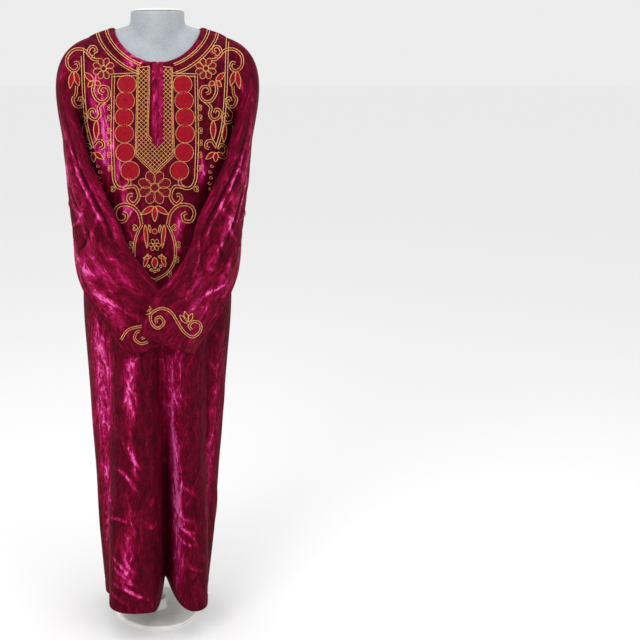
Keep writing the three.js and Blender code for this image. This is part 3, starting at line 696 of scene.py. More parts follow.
def onSleeve(turn, way, spec):  # way below 0 is the sleeve head, from the armhole at -1
    turn, way = np.broadcast_arrays(np.asarray(turn, float), np.asarray(way, float))
    head = np.clip(way + 1, 0, 1)[..., None]
    start, finish = armholeEdge(turn, 1), sleeveRing(np.zeros(way.shape), turn, spec)
    onward = sleeveRing(np.full(way.shape, 0.25), turn, spec) - finish
    reach = np.linalg.norm(finish - start, axis=-1, keepdims=True)
    onward = onward / np.linalg.norm(onward, axis=-1, keepdims=True) * reach
    up, swing = np.sin(np.radians(turn)), np.cos(np.radians(turn))
    shape = sleevePress["headTurn"]
    out = np.stack([
        shape["out"] + up * np.where(up > 0, shape["outTop"], shape["outLow"]),
        -shape["spread"] * swing,
        -shape["fall"] - shape["fallTop"] * np.clip(up, 0, 1),
    ], -1)
    t2, t3 = head**2, head**3
    cap = ((2 * t3 - 3 * t2 + 1) * start + (t3 - 2 * t2 + head) * out + (3 * t2 - 2 * t3) * finish
           + (t3 - t2) * onward)
    arm = sleeveRing(np.clip(way, 0, 10), turn, spec)
    points = np.where((way < 0)[..., None], cap, arm)
    return points * [spec["side"], 1, 1]


leftSleeve = {
    "side": 1,
    "shine": 0.62,
    "reach": 0,
    "drop": 0,
    "lift": 30,
    "creases": [  # path of (turn, way), width, height, gleam; gleam paints a highlight along the crease, and painted shade where below zero
        ([(60, -0.7), (66, 0.8), (62, 2.4)], 7, 3.4, 0.5),
        ([(100, -0.6), (104, 1.0), (98, 2.8)], 7, 3.6, 0.4),
        ([(30, 0.2), (52, 1.2), (80, 1.8)], 6, 3, 0.5),
        ([(20, 1.6), (50, 2.2), (85, 3.4)], 6, 3.4, 0.6),
        ([(30, 2.6), (60, 3.2), (96, 3.4)], 5, 3, 0.6),
        ([(150, 2.2), (120, 2.8), (90, 2.6)], 6, 3.2, 0.5),
        ([(156, 3.2), (128, 3.8), (104, 4.6)], 6, 3.2, 0.5),
        ([(24, 3.8), (52, 4.4), (70, 5.6)], 5, 2.8, 0.5),
        ([(110, 4.2), (104, 5.4), (112, 6.6)], 6, 3, 0.5),
        ([(70, 5.0), (66, 6.4), (74, 7.8)], 6, 2.8, 0.5),
        ([(140, 5.2), (132, 6.6), (140, 8.2)], 6, 2.8, 0.4),
        ([(36, 6.2), (52, 6.8), (60, 7.8)], 5, 2.4, 0.4),
        ([(90, 7.6), (98, 8.4), (92, 9.4)], 6, 2, 0.3),
        ([(-40, 0.6), (-46, 2.0), (-40, 3.4)], 8, -3, 0),
        ([(-120, 0.6), (-112, 2.0), (-120, 3.4)], 8, -3, 0),
        ([(44, -0.5), (41, 1.2), (38, 3.2), (40, 5.4)], 5, -4.6, -1.0),
        ([(53, -0.5), (50, 1.2), (47, 3.2), (49, 5.4)], 4.5, 3.4, 1.7),
        ([(84, 0.6), (80, 2.0), (86, 3.6), (82, 5.6)], 5, -4.6, -0.9),
        ([(93, 0.9), (89, 2.1), (95, 3.5)], 4.5, 3, 1.5),
        ([(128, -0.4), (132, 1.6), (126, 3.6)], 5, -4.6, -0.9),
        ([(137, 0.2), (140, 1.7), (135, 3.4)], 4.5, 3, 1.5),
        ([(66, 3.0), (84, 3.7), (108, 4.0)], 4.5, 3.4, 1.4),
        ([(62, 3.9), (78, 4.7), (100, 5.2)], 4.5, -3.6, -0.8),
        ([(30, 4.6), (48, 5.4), (60, 6.6)], 4.5, 3.4, 1.4),
        ([(118, 6.0), (100, 6.8), (84, 8.2)], 4.5, 3, 1.3),
    ],
    # path of (turn, way), width, gleam: painted highlight bands
    "bands": [
        ([(150, -0.6), (152, 1.5), (150, 3.5), (146, 6)], 16, 0.8),
        ([(72, 0.2), (74, 2), (76, 4), (80, 6.5), (84, 9)], 13, 0.6),
        ([(28, 0.8), (26, 2.6), (24, 4.6)], 11, 0.5),
        ([(120, 5), (118, 7), (116, 9.4)], 12, 0.5),
    ],
}
rightSleeve = {
    "side": -1,
    "shine": 0.66,
    "reach": 6,
    "drop": 8,
    "lift": 0,
    # path of (turn, way), width, height, gleam; gleam paints a highlight, and painted shade where below zero
    "creases": [
        ([(58, -0.7), (64, 0.9), (70, 2.4)], 7, 3.2, 0.5),
        ([(104, -0.6), (98, 0.9), (106, 2.6)], 7, 3.6, 0.6),
        ([(24, 0.6), (50, 1.4), (84, 1.6)], 6, 3, 0.5),
        ([(24, 2.0), (56, 2.6), (92, 3.6)], 6, 3.2, 0.7),
        ([(150, 1.8), (124, 2.4), (96, 2.4)], 6, 3.2, 0.7),
        ([(154, 3.0), (130, 3.6), (100, 4.4)], 6, 3.4, 0.7),
        ([(36, 3.2), (66, 3.8), (90, 4.8)], 5, 2.8, 0.6),
        ([(140, 4.4), (118, 5.2), (92, 5.8)], 6, 3.2, 0.8),
        ([(60, 5.0), (64, 6.2), (60, 7.4)], 6, 2.8, 0.5),
        ([(116, 5.8), (110, 7.0), (118, 8.2)], 6, 2.8, 0.6),
        ([(84, 6.8), (92, 7.8), (86, 9.0)], 6, 2.4, 0.4),
        ([(-42, 0.8), (-48, 2.2), (-40, 3.6)], 8, -3, 0),
        ([(-118, 0.6), (-110, 2.0), (-118, 3.4)], 8, -3, 0),
        ([(40, -0.5), (43, 1.4), (40, 3.0), (44, 5.0)], 5, -4.6, -1.0),
        ([(49, -0.4), (52, 1.4), (49, 3.0), (53, 5.0)], 4.5, 3.4, 1.7),
        ([(80, 0.2), (86, 1.8), (80, 3.4), (84, 5.2)], 5, -4.6, -0.9),
        ([(90, 0.4), (95, 1.8), (90, 3.2)], 4.5, 3, 1.5),
        ([(124, -0.5), (120, 1.2), (126, 3.0)], 5, -4.6, -0.9),
        ([(133, -0.3), (129, 1.3), (135, 2.8)], 4.5, 3, 1.6),
        ([(150, 3.6), (132, 4.4), (108, 5.0)], 4.5, 3.4, 1.4),
        ([(70, 2.8), (92, 3.3), (116, 3.3)], 4.5, 3.4, 1.4),
        ([(70, 3.6), (94, 4.2), (118, 4.4)], 4.5, -3.6, -0.8),
        ([(130, 6.2), (108, 7.0), (92, 8.2)], 4.5, 3, 1.3),
    ],
    # path of (turn, way), width, gleam: painted highlight bands
    "bands": [
        ([(146, -0.4), (150, 1.5), (148, 3.5), (146, 6)], 16, 1.0),
        ([(84, 0.6), (82, 2.4), (86, 4.2), (88, 6.5)], 13, 0.7),
        ([(34, 1.0), (30, 2.8), (30, 5.0)], 11, 0.6),
        ([(118, 4.4), (120, 6.4), (118, 9)], 13, 0.8),
    ],
}


def makeSleeve(name, spec):
    turns = np.arange(sleevePress["stations"]) * 360 / sleevePress["stations"]
    headWays = -1 + np.linspace(0, 1, sleevePress["headRows"], endpoint=False) ** 1.3
    ways = np.concatenate([headWays, np.linspace(0, 10, sleevePress["armRows"])])
    turnGrid, wayGrid = np.meshgrid(turns if spec["side"] < 0 else turns[::-1], ways)
    points = onSleeve(turnGrid, wayGrid, spec)
    normals = gridNormals(points, closed=True)
    place = lambda turn, way: onSleeve(turn, way, spec)
    height, shine = pressCreases(points, spec["creases"], place)
    shine += paintSheenBands(points, spec["bands"], place)
    sewn = sleevePress
    fromSeam = (wayGrid + 1) * sewn["headMm"]
    pucker = np.cos(np.radians(turnGrid) * 26) + 0.6 * np.cos(np.radians(turnGrid) * 41 + 1)
    height += sewn["pucker"] * pucker * np.exp(-fromSeam / 14) * smooth(fromSeam / 4)  # eased into the armhole
    height += sewn["cuffRise"] * smooth((wayGrid - sewn["cuffFold"]) / 0.05)  # turned cuff
    height -= sewn["cuffSink"] * np.exp(-(((wayGrid - sewn["cuffStitch"]) / 0.05) ** 2))
    height *= smooth(fromSeam / 6 + 0.1)
    cuff = smooth((wayGrid - 9.9) / 0.1)
    points = points + normals * (height * (1 - 0.6 * cuff))[..., None]
    around = np.radians(turnGrid)
    steps = np.linalg.norm(np.diff(points, axis=0), axis=2).mean(1)
    along = np.concatenate([[0], np.cumsum(steps)])[:, None] / 1000 + 0 * turnGrid
    tube = sewn["tubeMetres"]
    grain = np.stack([tube * np.cos(around), tube * np.sin(around), along + spec["side"]], -1)
    piece = clothMesh(name, points, velvet, closed=True, paintedSheen=shine * spec["shine"] + sewn["plainShine"],
                      thick=caftanCut["thick"], grain=grain)
    print(name, len(piece.data.polygons))
    return piece, points


sleeveLeft, leftPoints = makeSleeve("sleeve_left_cloth", leftSleeve)
sleeveRight, rightPoints = makeSleeve("sleeve_right_cloth", rightSleeve)

# ---- neck binding and the two welts beside the slit


bindingLook = {
    "width": 13.5,
    "neckHalf": 92.5,
    "shares": [1.0, 0.98, 0.9, 0.76, 0.6, 0.42, 0.26, 0.12, 0.0, 0.0],  # of the width, from the foot up
    "profile": [-0.4, 0.7, 1.4, 1.8, 2.0, 1.9, 1.6, 1.1, 0.2, -1.4],
    # painted sheen on the binding, with a painted highlight around 330 degrees
    "shine": {"plain": 0.12, "more": 0.5, "at": 330, "spread": 28},
}
weltLook = {
    "across": [0.35, 0.5, 1.4, 3.2, 5.4, 7.6, 9.6, 11.2, 11.9, 12.0],
    "profile": [-1.2, 0.5, 1.6, 2.1, 2.2, 2.1, 1.8, 1.2, 0.5, 0.0],
    "footRows": 9,
    "rows": 80,
    "top": 1367,
    # painted sheen, even along the welts
    "shine": 0.42,
}


def neckLevel(angles, distance):  # the level that lies a distance below the neckline at each angle
    steps = np.linspace(1368, 1230, 140)
    grid = onBody(angles[None, :] + 0 * steps[:, None], steps[:, None] + 0 * angles[None, :])
    lengths = np.linalg.norm(np.diff(grid, axis=0), axis=2)
    run = np.concatenate([np.zeros((1, len(angles))), np.cumsum(lengths, 0)])
    return np.array([np.interp(distance, run[:, k], steps) for k in range(len(angles))])


edgeAngle = float(np.degrees(np.arcsin((caftanCut["weltWidth"] + 0.3) / bindingLook["neckHalf"])))
bindingAngles = np.linspace(edgeAngle, 360 - edgeAngle, 340)
bindingRows = []
for share, lift in zip(bindingLook["shares"], bindingLook["profile"]):
    level = neckLevel(bindingAngles, bindingLook["width"] * share)
    wave = 0.3 * math.sin(math.pi * share) * np.sin(bindingAngles * 0.9) * np.sin(bindingAngles * 0.37 + 1)
    facing = bodyNormal(bindingAngles, np.minimum(level, caftanCut["neckBend"] + 0.5))
    bindingRows.append(onBody(bindingAngles, level) + facing * (lift + wave)[:, None])
bindingPoints = np.stack(bindingRows)
shine = bindingLook["shine"]
paintedSheenLevel = shine["plain"] + shine["more"] * np.exp(-(((bindingAngles - shine["at"]) / shine["spread"]) ** 2))
binding = clothMesh("neck_binding_cloth", bindingPoints, velvet, paintedSheen=paintedSheenLevel + 0 * bindingPoints[..., 0])


def makeWelt(name, side):
    across, profile = np.array(weltLook["across"]), np.array(weltLook["profile"])
    rows = np.concatenate([np.linspace(0, 1, weltLook["footRows"]),
                           1 + np.linspace(0, 1, weltLook["rows"])[1:]])
    slitFoot, placketFoot = caftanCut["slitFoot"], caftanCut["placketFoot"]
    grid = []
    for r in rows:
        foot = placketFoot + (slitFoot - placketFoot) * across / caftanCut["weltWidth"]
        level = foot + (slitFoot - foot) * min(r, 1) + max(r - 1, 0) * (weltLook["top"] - slitFoot)
        half = onBody(np.full(len(across), 90.0), level)[:, 0]
        angle = side * np.degrees(np.arcsin(across / half))
        edge = min(1.0, r * 4 + 0.1)
        facing = bodyNormal(angle, np.minimum(level, caftanCut["neckBend"]))
        grid.append(onBody(angle, level) + facing * (profile * edge)[:, None])
    points = np.stack(grid)
    if side < 0:
        points = points[:, ::-1]
    return clothMesh(name, points, velvet, paintedSheen=np.full(points.shape[:2], weltLook["shine"]))


weltLeft = makeWelt("placket_left_cloth", 1)
weltRight = makeWelt("placket_right_cloth", -1)
print("binding and welts ready")

# ---- machine embroidery: gold chain stitch, red and wine satin stitch on the front and the cuffs

# a drawing is in millimetres across from the centre line and down from the neckline, as the front is seen
drawingLook = {
    "mmPerStep": 2.0,  # a step of the drawing's own frame, 640 steps wide
    "centreLine": 154.6,
    "neckline": 53,
    "eye": (0.0, -2300.0, 1300.0),  # where the drawing is seen from, in millimetres
    "eyeTilt": 14,
    "eyeAxis": (157.5, 322),  # the step that the eye looks at
    "eyeReach": 1074,  # steps for one unit across at one unit away
}
goldChain = {"link": 3.0, "half": 0.52, "strand": 0.38, "rise": 0.8, "lift": 0.3}
fineChain = {"link": 2.6, "half": 0.36, "strand": 0.28, "rise": 0.65, "lift": 0.3}
satinStitch = {"pitch": 1.25, "rise": 0.7, "rib": 0.3, "lift": 0.15}


def clothTree(*grids):  # each grid of points comes with whether it is a closed tube
    corners, faces, count = [], [], 0
    for points, closed in grids:
        faces += (gridFaces(points, closed) + count).tolist()
        corners += points.reshape(-1, 3).tolist()
        count = len(corners)
    return BVHTree.FromPolygons(corners, faces)


eye = np.array(drawingLook["eye"])
tilt = math.radians(drawingLook["eyeTilt"])
ahead, above = np.array([0, math.cos(tilt), -math.sin(tilt)]), np.array([0, math.sin(tilt), math.cos(tilt)])


def layOnCloth(drawing, tree):  # drops a drawing's points onto the cloth; misses come back as nan
    drawing = np.asarray(drawing, float)
    step, (axisX, axisY), reach = (drawingLook[key] for key in ("mmPerStep", "eyeAxis", "eyeReach"))
    across = (drawingLook["centreLine"] + drawing[:, 0] / step - axisX) / reach
    down = (axisY - drawingLook["neckline"] - drawing[:, 1] / step) / reach
    points, normals = np.full((2, len(drawing), 3), np.nan)
    for i, (u, v) in enumerate(zip(across, down)):
        ray = ahead + above * v + np.array([u, 0, 0])
        hit, normal, _, _ = tree.ray_cast(Vector(eye), Vector(ray / np.linalg.norm(ray)))
        if hit is not None:
            points[i] = hit
            normals[i] = normal if np.dot(normal, ray) < 0 else -normal
    return points, normals


def closerPoints(path, step):  # the same line with points at most a step apart
    path = np.asarray(path, float)
    run = np.concatenate([[0], np.cumsum(np.linalg.norm(np.diff(path, axis=0), axis=1))])
    count = max(2, int(run[-1] / step) + 1)
    at = np.linspace(0, run[-1], count)
    return np.stack([np.interp(at, run, path[:, k]) for k in range(path.shape[1])], -1)


def sideways(path):  # the direction square to a drawn path
    along = np.gradient(path, axis=0)
    along /= np.maximum(np.linalg.norm(along, axis=1, keepdims=True), 1e-9)
    return np.stack([-along[:, 1], along[:, 0]], -1)


def beside(path, off):  # a line parallel to a path
    path = np.asarray(path, float)
    return path + off * sideways(path)


def mirrored(path, side):  # side is 1 or -1
    return [(side * x, y) for x, y in path]


def through(points, steps=10):  # a smooth line through a few points
    return drawnPath(points, lambda u, v: np.stack([u, v], -1), steps)


def curl(x, y, outer, inner, start, turns):  # a spiral that winds in from its outer end; degrees, turns signed
    t = np.linspace(0, 1, max(12, int(abs(turns) * 26)))
    angle, radius = np.radians(start) + 2 * math.pi * turns * t, outer + (inner - outer) * t**0.8
    return np.stack([x + radius * np.cos(angle), y + radius * np.sin(angle)], -1)


def ringOf(x, y, radius, count=28):
    turn = np.linspace(0, 2 * math.pi, count + 1)
    return np.stack([x + radius * np.cos(turn), y + radius * np.sin(turn)], -1)


def leafSides(root, tip, half, steps=12):  # the two edges of a pointed leaf
    root, tip = np.array(root, float), np.array(tip, float)
    side = np.array([-(tip - root)[1], (tip - root)[0]]) / np.linalg.norm(tip - root)
    t = np.linspace(0, 1, steps + 1)[:, None]
    bow = half * np.sin(math.pi * t**0.85) ** 0.85
    middle = root + (tip - root) * t
    return middle + side * bow, middle - side * bow


class Sewing:  # gathers thousands of stitches into one mesh
    def __init__(self):
        self.points, self.faces, self.count = [], [], 0

    def add(self, points, faces):
        self.points.append(points.reshape(-1, 3))
        self.faces.append(faces.reshape(-1, 4) + self.count)
        self.count += len(self.points[-1])

    def finish(self, name, material):
        piece = newPiece(name, np.vstack(self.points), np.vstack(self.faces), material)
        print(name, len(piece.data.polygons))
        return piece


linkShape = np.array([(-0.62, 0), (-0.25, 0.8), (0.25, 1), (0.62, 0), (0.25, -1), (-0.25, -0.8)])


def chainOn(sewing, points, normals, stitch):  # one looped link after another along a line on the cloth
    good = ~np.isnan(points[:, 0])
    cuts = np.where(np.diff(good.astype(int)) != 0)[0] + 1
    jump = np.where(np.linalg.norm(np.diff(points, axis=0), axis=1) > 12)[0] + 1
    for part in np.split(np.arange(len(points)), np.unique(np.concatenate([cuts, jump]))):
        if len(part) < 3 or not good[part[0]]:
            continue
        line, facing = points[part], normals[part]
        run = np.concatenate([[0], np.cumsum(np.linalg.norm(np.diff(line, axis=0), axis=1))])
        count = int(run[-1] / stitch["link"])
        if count < 1:
            continue
        at = (np.arange(count) + 0.5) * run[-1] / count
        centre = np.stack([np.interp(at, run, line[:, k]) for k in range(3)], -1)
        out = np.stack([np.interp(at, run, facing[:, k]) for k in range(3)], -1)
        ends = [np.stack([np.interp(np.clip(at + d, 0, run[-1]), run, line[:, k]) for k in range(3)], -1)
                for d in (-stitch["link"] / 2, stitch["link"] / 2)]
        along = ends[1] - ends[0]
        along /= np.maximum(np.linalg.norm(along, axis=1, keepdims=True), 1e-9)
        out -= along * np.sum(out * along, 1, keepdims=True)
        out /= np.maximum(np.linalg.norm(out, axis=1, keepdims=True), 1e-9)
        side = np.cross(out, along)
        corners = []
        for u, v in linkShape:
            for grow, lift in ((1.0, 0.0), (0.55, 1.0), (0.1, 0.0)):
                corners.append(centre + along * (u * stitch["link"] * (0.85 + 0.15 * grow))
                               + side * (v * stitch["half"] + (grow - 0.55) * stitch["strand"] * 2 * v)
                               + out * (stitch["lift"] + lift * stitch["rise"]))
        grid = np.stack(corners, 1)  # link, corner of the loop times three, xyz
        faces = []
        for k in range(6):
            a, b = k * 3, (k + 1) % 6 * 3
            faces += [(a, b, b + 1, a + 1), (a + 1, b + 1, b + 2, a + 2)]
        sewing.add(grid, np.arange(count)[:, None, None] * 18 + np.array(faces)[None])


def chain(sewing, drawing, tree, stitch=goldChain):
    points, normals = layOnCloth(closerPoints(drawing, 1.4), tree)
    chainOn(sewing, points, normals, stitch)


def satinGrid(sewing, drawing, tree):  # a grid of drawing points filled with ribs of thread
    rows, columns = drawing.shape[:2]
    points, normals = layOnCloth(drawing.reshape(-1, 2), tree)
    if np.isnan(points).any():
        return
    points, normals = points.reshape(rows, columns, 3), normals.reshape(rows, columns, 3)
    across = np.linspace(-1, 1, columns)[None, :, None]
    crown = satinStitch["rise"] * (1 - 0.75 * across**2)
    rib = satinStitch["rib"] * ((np.arange(rows) % 2) * 2 - 1)[:, None, None]
    points = points + normals * (satinStitch["lift"] + crown + rib * (1 - 0.6 * across**2))
    sewing.add(points, gridFaces(points))


def filledLeaf(gold, red, root, tip, half, tree):
    size = math.dist(root, tip)
    left, right = leafSides(root, tip, half * 0.82, max(8, int(size / satinStitch["pitch"])))
    blend = np.linspace(0, 1, 5)[None, :, None]
    satinGrid(red, left[1:-1, None] * (1 - blend) + right[1:-1, None] * blend, tree)
    left, right = leafSides(root, tip, half)
    chain(gold, np.vstack([left, right[::-1]]), tree)


def filledDisc(gold, red, x, y, radius, tree):
    rings, spokes = max(3, int(radius / 1.9)), 40
    turn = np.linspace(0, 2 * math.pi, spokes + 1)
    radii = np.linspace(radius * 0.97, radius * 0.01, rings * 2)
    drawing = np.stack([np.stack([x + r * np.cos(turn), y + r * np.sin(turn)], -1) for r in radii])
    points, normals = layOnCloth(drawing.reshape(-1, 2), tree)
    if not np.isnan(points).any():
        points, normals = points.reshape(*drawing.shape[:2], 3), normals.reshape(*drawing.shape[:2], 3)
        rib = 0.16 * ((np.arange(len(radii)) % 2) * 2 - 1)[:, None] + 0.14 * ((np.arange(spokes + 1) % 2) * 2 - 1)
        dome = 0.5 + 0.5 * (1 - (radii / radius) ** 2)[:, None]
        points = points + normals * (satinStitch["lift"] + dome + rib)[..., None]
        red.add(points, gridFaces(points))
    chain(gold, ringOf(x, y, radius * 1.03, 40), tree, fineChain)


def scrollBand(gold, satin, path, tree, half=2.7):  # two gold rows with a satin ladder between them
    path = closerPoints(path, 1.0)
    chain(gold, beside(path, half), tree)
    chain(gold, beside(path, -half), tree)
    rungs = closerPoints(path, satinStitch["pitch"])
    across = np.linspace(-1, 1, 4)[None, :, None] * (half - 0.5)
    satinGrid(satin, rungs[:, None] + sideways(rungs)[:, None] * across, tree)


def petalRing(gold, red, x, y, radius, count, tree, turnBy=0.0, fill=True):
    for k in range(count):
        a = 2 * math.pi * k / count + turnBy
        reach, wide = radius * 0.36, radius * 0.27
        cx, cy = x + radius * 0.62 * math.cos(a), y + radius * 0.62 * math.sin(a)
        turn = np.linspace(0, 2 * math.pi, 25)
        u, v = reach * np.cos(turn), wide * np.sin(turn)
        ring = np.stack([cx + u * math.cos(a) - v * math.sin(a), cy + u * math.sin(a) + v * math.cos(a)], -1)
        chain(gold, ring, tree, fineChain)
        if fill:
            s = np.linspace(-0.86, 0.86, max(6, int(reach * 1.7 / satinStitch["pitch"])))
            w = np.sqrt(1 - s**2) * wide * 0.9
            across = np.linspace(-1, 1, 4)
            u2, v2 = (s * reach)[:, None] + 0 * across, w[:, None] * across
            grid = np.stack([cx + u2 * math.cos(a) - v2 * math.sin(a),
                             cy + u2 * math.sin(a) + v2 * math.cos(a)], -1)
            satinGrid(red, grid, tree)
    filledDisc(gold, red, x, y, radius * 0.22, tree)


heartHalf = [(-0.35, 0), (0.05, 0.42), (0.5, 0.52), (0.78, 0.28), (0.6, 0.05), (0.34, 0.12), (0.36, 0.3)]


def heartCurl(gold, x, y, size, side, tree):  # a small heart on its side, with curled ends, beside the border
    for up in (1, -1):
        path = through([(x + side * size * u * 0.75, y + up * size * v) for u, v in heartHalf], 6)
        chain(gold, path, tree, fineChain)


bodice = {
    "lattice": {"innerTop": 13.5, "innerLow": 16.5, "outerTop": 34, "outerLow": 38, "top": 12, "innerFoot": 152,
                "innerPoint": 170, "outerFoot": 190, "outerPoint": 227, "cell": 9.2},
    "discs": [(58, 45), (61, 79), (63, 113), (63, 147), (61, 186), (51, 224)],
    "discRadius": 18.8,
    "border": [(86, 26), (87, 90), (88, 160), (86, 215), (84, 243), (76, 258), (62, 260), (52, 250), (54, 238)],
    "borderGap": 2.7,
    "topBar": [(38, 24), (86, 26)],
    "hearts": [(91, 93), (91.5, 114), (92, 141), (92, 166), (91.5, 191), (90, 219), (84, 262)],
    "flower": (0, 259, 36),
    "leaves": [((0, 298), (0, 330), 5.5), ((2, 298), (28, 315), 5.5), ((-2, 298), (-28, 315), 5.5)],
    "scrolls": [
        [(62, 259), (42, 257), (34, 270), (34, 282), (44, 293), (55, 284), (52, 274), (45, 275)],
        [(27, 336), (33, 312), (50, 296), (72, 296), (82, 310), (76, 328), (62, 328), (58, 316), (66, 311)],
    ],
    "shield": [(27, 336), (38, 360), (43, 386), (40, 414), (26, 436), (0, 452)],
    "shieldHearts": [(38, 342), (46, 378), (43, 408), (28, 438)],
    "shieldLeaves": [((20, 336), (16, 384), 4), ((12, 336), (9, 352), 2.5), ((22, 424), (14, 396), 4),
                     ((7, 402), (24, 406), 3)],
    "beads": {"at": (15, 416), "across": 0.9, "down": 17, "from": 20, "step": 34, "count": 5, "radius": 2.4},
    "heartSize": 11,
    "shieldHeartSize": 12,
}


frontTree = clothTree((frontPoints, False))
yokeTree = clothTree((frontPoints, False), (leftPoints, True), (rightPoints, True))
goldFront, redFront, goldYoke, redYoke, wineFront = (Sewing() for k in range(5))

neckRows = [  # mm below the neckline, degrees left open at the slit, mm off the cloth
    (14.5, 15.5, 1.2),
    (19.5, 15.5, 1.2),
    (34.5, 13.8, 0.0),
    (39.5, 13.8, 0.0),
]
for distance, edge, lift in neckRows:
    turnAngles = np.linspace(edge, 360 - edge, 420)
    rowLevel = neckLevel(turnAngles, distance)
    facing = bodyNormal(turnAngles, rowLevel)
    chainOn(goldYoke, onBody(turnAngles, rowLevel) + facing * lift, facing, goldChain)

lattice = bodice["lattice"]
for side in (1, -1):
    inner = [(side * lattice["innerTop"], lattice["top"] - 6), (side * lattice["innerTop"], 60),
             (side * lattice["innerLow"], lattice["innerFoot"]), (0, lattice["innerPoint"])]
    outer = [(side * lattice["outerTop"], lattice["top"] - 2), (side * (lattice["outerTop"] + 1), 80),
             (side * lattice["outerLow"], lattice["outerFoot"]), (0, lattice["outerPoint"])]
    for path in (inner, outer):
        for k in range(len(path) - 1):
            chain(goldFront, path[k : k + 2], frontTree)
            gap = 2.6 * (1 if path is outer else -1)
            shift = [side * gap, abs(gap) * (k == 2) * np.sign(gap)]
            chain(goldFront, np.array(path[k : k + 2]) + shift, frontTree)


for side in (1, -1):
    bar = [(lattice["innerTop"], lattice["top"] - 4), (lattice["outerTop"], lattice["top"] - 2)]
    chain(goldFront, mirrored(bar, side), frontTree)


def insideLattice(x, y):
    share = np.clip(y / lattice["outerFoot"], 0, 1)
    x = abs(x)
    outerAt = lattice["outerTop"] + (lattice["outerLow"] - lattice["outerTop"]) * share
    innerAt = lattice["innerTop"] + (lattice["innerLow"] - lattice["innerTop"]) * share
    if y > lattice["outerFoot"]:
        outerAt = (lattice["outerLow"] * (lattice["outerPoint"] - y)
                   / (lattice["outerPoint"] - lattice["outerFoot"]))
    if y > lattice["innerFoot"]:
        innerAt = (lattice["innerLow"] * (lattice["innerPoint"] - y)
                   / (lattice["innerPoint"] - lattice["innerFoot"]))
    beneath = y > lattice["innerPoint"]
    return x < outerAt - 0.8 and (beneath or lattice["top"] < y and innerAt + 0.8 < x)


for slope in (1, -1):
    for k in range(-6, 40):
        start = lattice["cell"] * k
        line = np.array([(x, start + slope * x) for x in np.arange(-38, 38.1, 0.7)])
        kept = np.array([insideLattice(x, y) for x, y in line])
        for part in np.split(np.arange(len(line)), np.where(np.diff(kept.astype(int)) != 0)[0] + 1):
            if kept[part[0]] and len(part) > 3:
                chain(goldFront, line[part], frontTree, fineChain)

for side in (1, -1):
    for x, y in bodice["discs"]:
        filledDisc(goldFront, redFront, side * x, y, bodice["discRadius"], frontTree)
    border = through(mirrored(bodice["border"], side))
    for off in (-bodice["borderGap"], bodice["borderGap"]):
        chain(goldFront, beside(border, off), frontTree)
        chain(goldFront, [(side * x, y + off) for x, y in bodice["topBar"]], frontTree)
    for x, y in bodice["hearts"]:
        heartCurl(goldFront, side * x, y, bodice["heartSize"], side, frontTree)
    for path in bodice["scrolls"]:
        scrollBand(goldFront, wineFront, through(mirrored(path, side)), frontTree)
    shield = through(mirrored(bodice["shield"], side))
    for off in (-2, 2):
        chain(goldFront, beside(shield, off), frontTree)
    for x, y in bodice["shieldHearts"]:
        heartCurl(goldFront, side * x, y, bodice["shieldHeartSize"], side, frontTree)
    for root, tip, half in bodice["shieldLeaves"]:
        filledLeaf(goldFront, redFront, *mirrored((root, tip), side), half, frontTree)
    beads = bodice["beads"]
    for k in range(beads["count"]):
        a = math.radians(beads["from"] + beads["step"] * k)
        x, y = side * beads["at"][0] * math.cos(a) * beads["across"], beads["at"][1] + beads["down"] * math.sin(a)
        chain(goldFront, ringOf(x, y, beads["radius"], 10), frontTree, fineChain)
petalRing(goldFront, wineFront, *bodice["flower"], 8, frontTree, turnBy=math.pi / 8)
for root, tip, half in bodice["leaves"]:
    filledLeaf(goldFront, redFront, root, tip, half, frontTree)
petalRing(goldFront, redFront, 0, 378, 13, 6, frontTree, fill=False)
filledLeaf(goldFront, redFront, (0, 404), (0, 428), 6, frontTree)
filledDisc(goldFront, redFront, 0, 350, 5, frontTree)
heartCurl(goldFront, -4, 460, 10, 1, frontTree)

yoke = {
    "flower": (106, 12, 23),
    "scrolls": [
        [(124, -14), (132, -12), (138, -21), (133, -32), (124, -32), (121, -24), (127, -21)],
        [(116, -6), (128, -8), (146, -26), (166, -27), (181, -12), (180, 8), (168, 17), (158, 10), (160, 0),
         (167, 1)],
        [(126, 40), (128, 60), (118, 78), (104, 80), (94, 68), (98, 52), (110, 50), (114, 60), (107, 64)],
        [(104, 80), (116, 92), (114, 108), (122, 118), (134, 112), (135, 100), (127, 97), (124, 104)],
        [(162, 48), (164, 66), (170, 76), (164, 90), (152, 90), (148, 78), (155, 73), (158, 80)],
        [(154, 92), (163, 104), (160, 120), (148, 124), (141, 114), (147, 106), (152, 112)],
        [(126, 172), (118, 162), (108, 164), (106, 174), (113, 178)],
        [(130, 178), (138, 170), (147, 176), (146, 188), (137, 190)],
    ],
    "leaves": [((127, 38), (146, 20), 5.5), ((127, 38), (138, 50), 5), ((124, 40), (112, 46), 5),
               ((166, 18), (157, 48), 5.5), ((170, 18), (176, 54), 5.5), ((121, 120), (121, 160), 5.5),
               ((145, 126), (143, 166), 5), ((124, 186), (106, 200), 5), ((127, 186), (126, 206), 5),
               ((130, 186), (146, 200), 5)],
    "rows": [(151, -52), (149, 0), (147, 60), (141, 128), (128, 178)],
    "dots": [(118, 214), (114, 226), (116, 238), (113, 250), (115, 262)],
}


def yokeCloth(points):  # only the top of the yoke runs on across the armhole seam
    return yokeTree if max(y for x, y in points) < 95 else frontTree


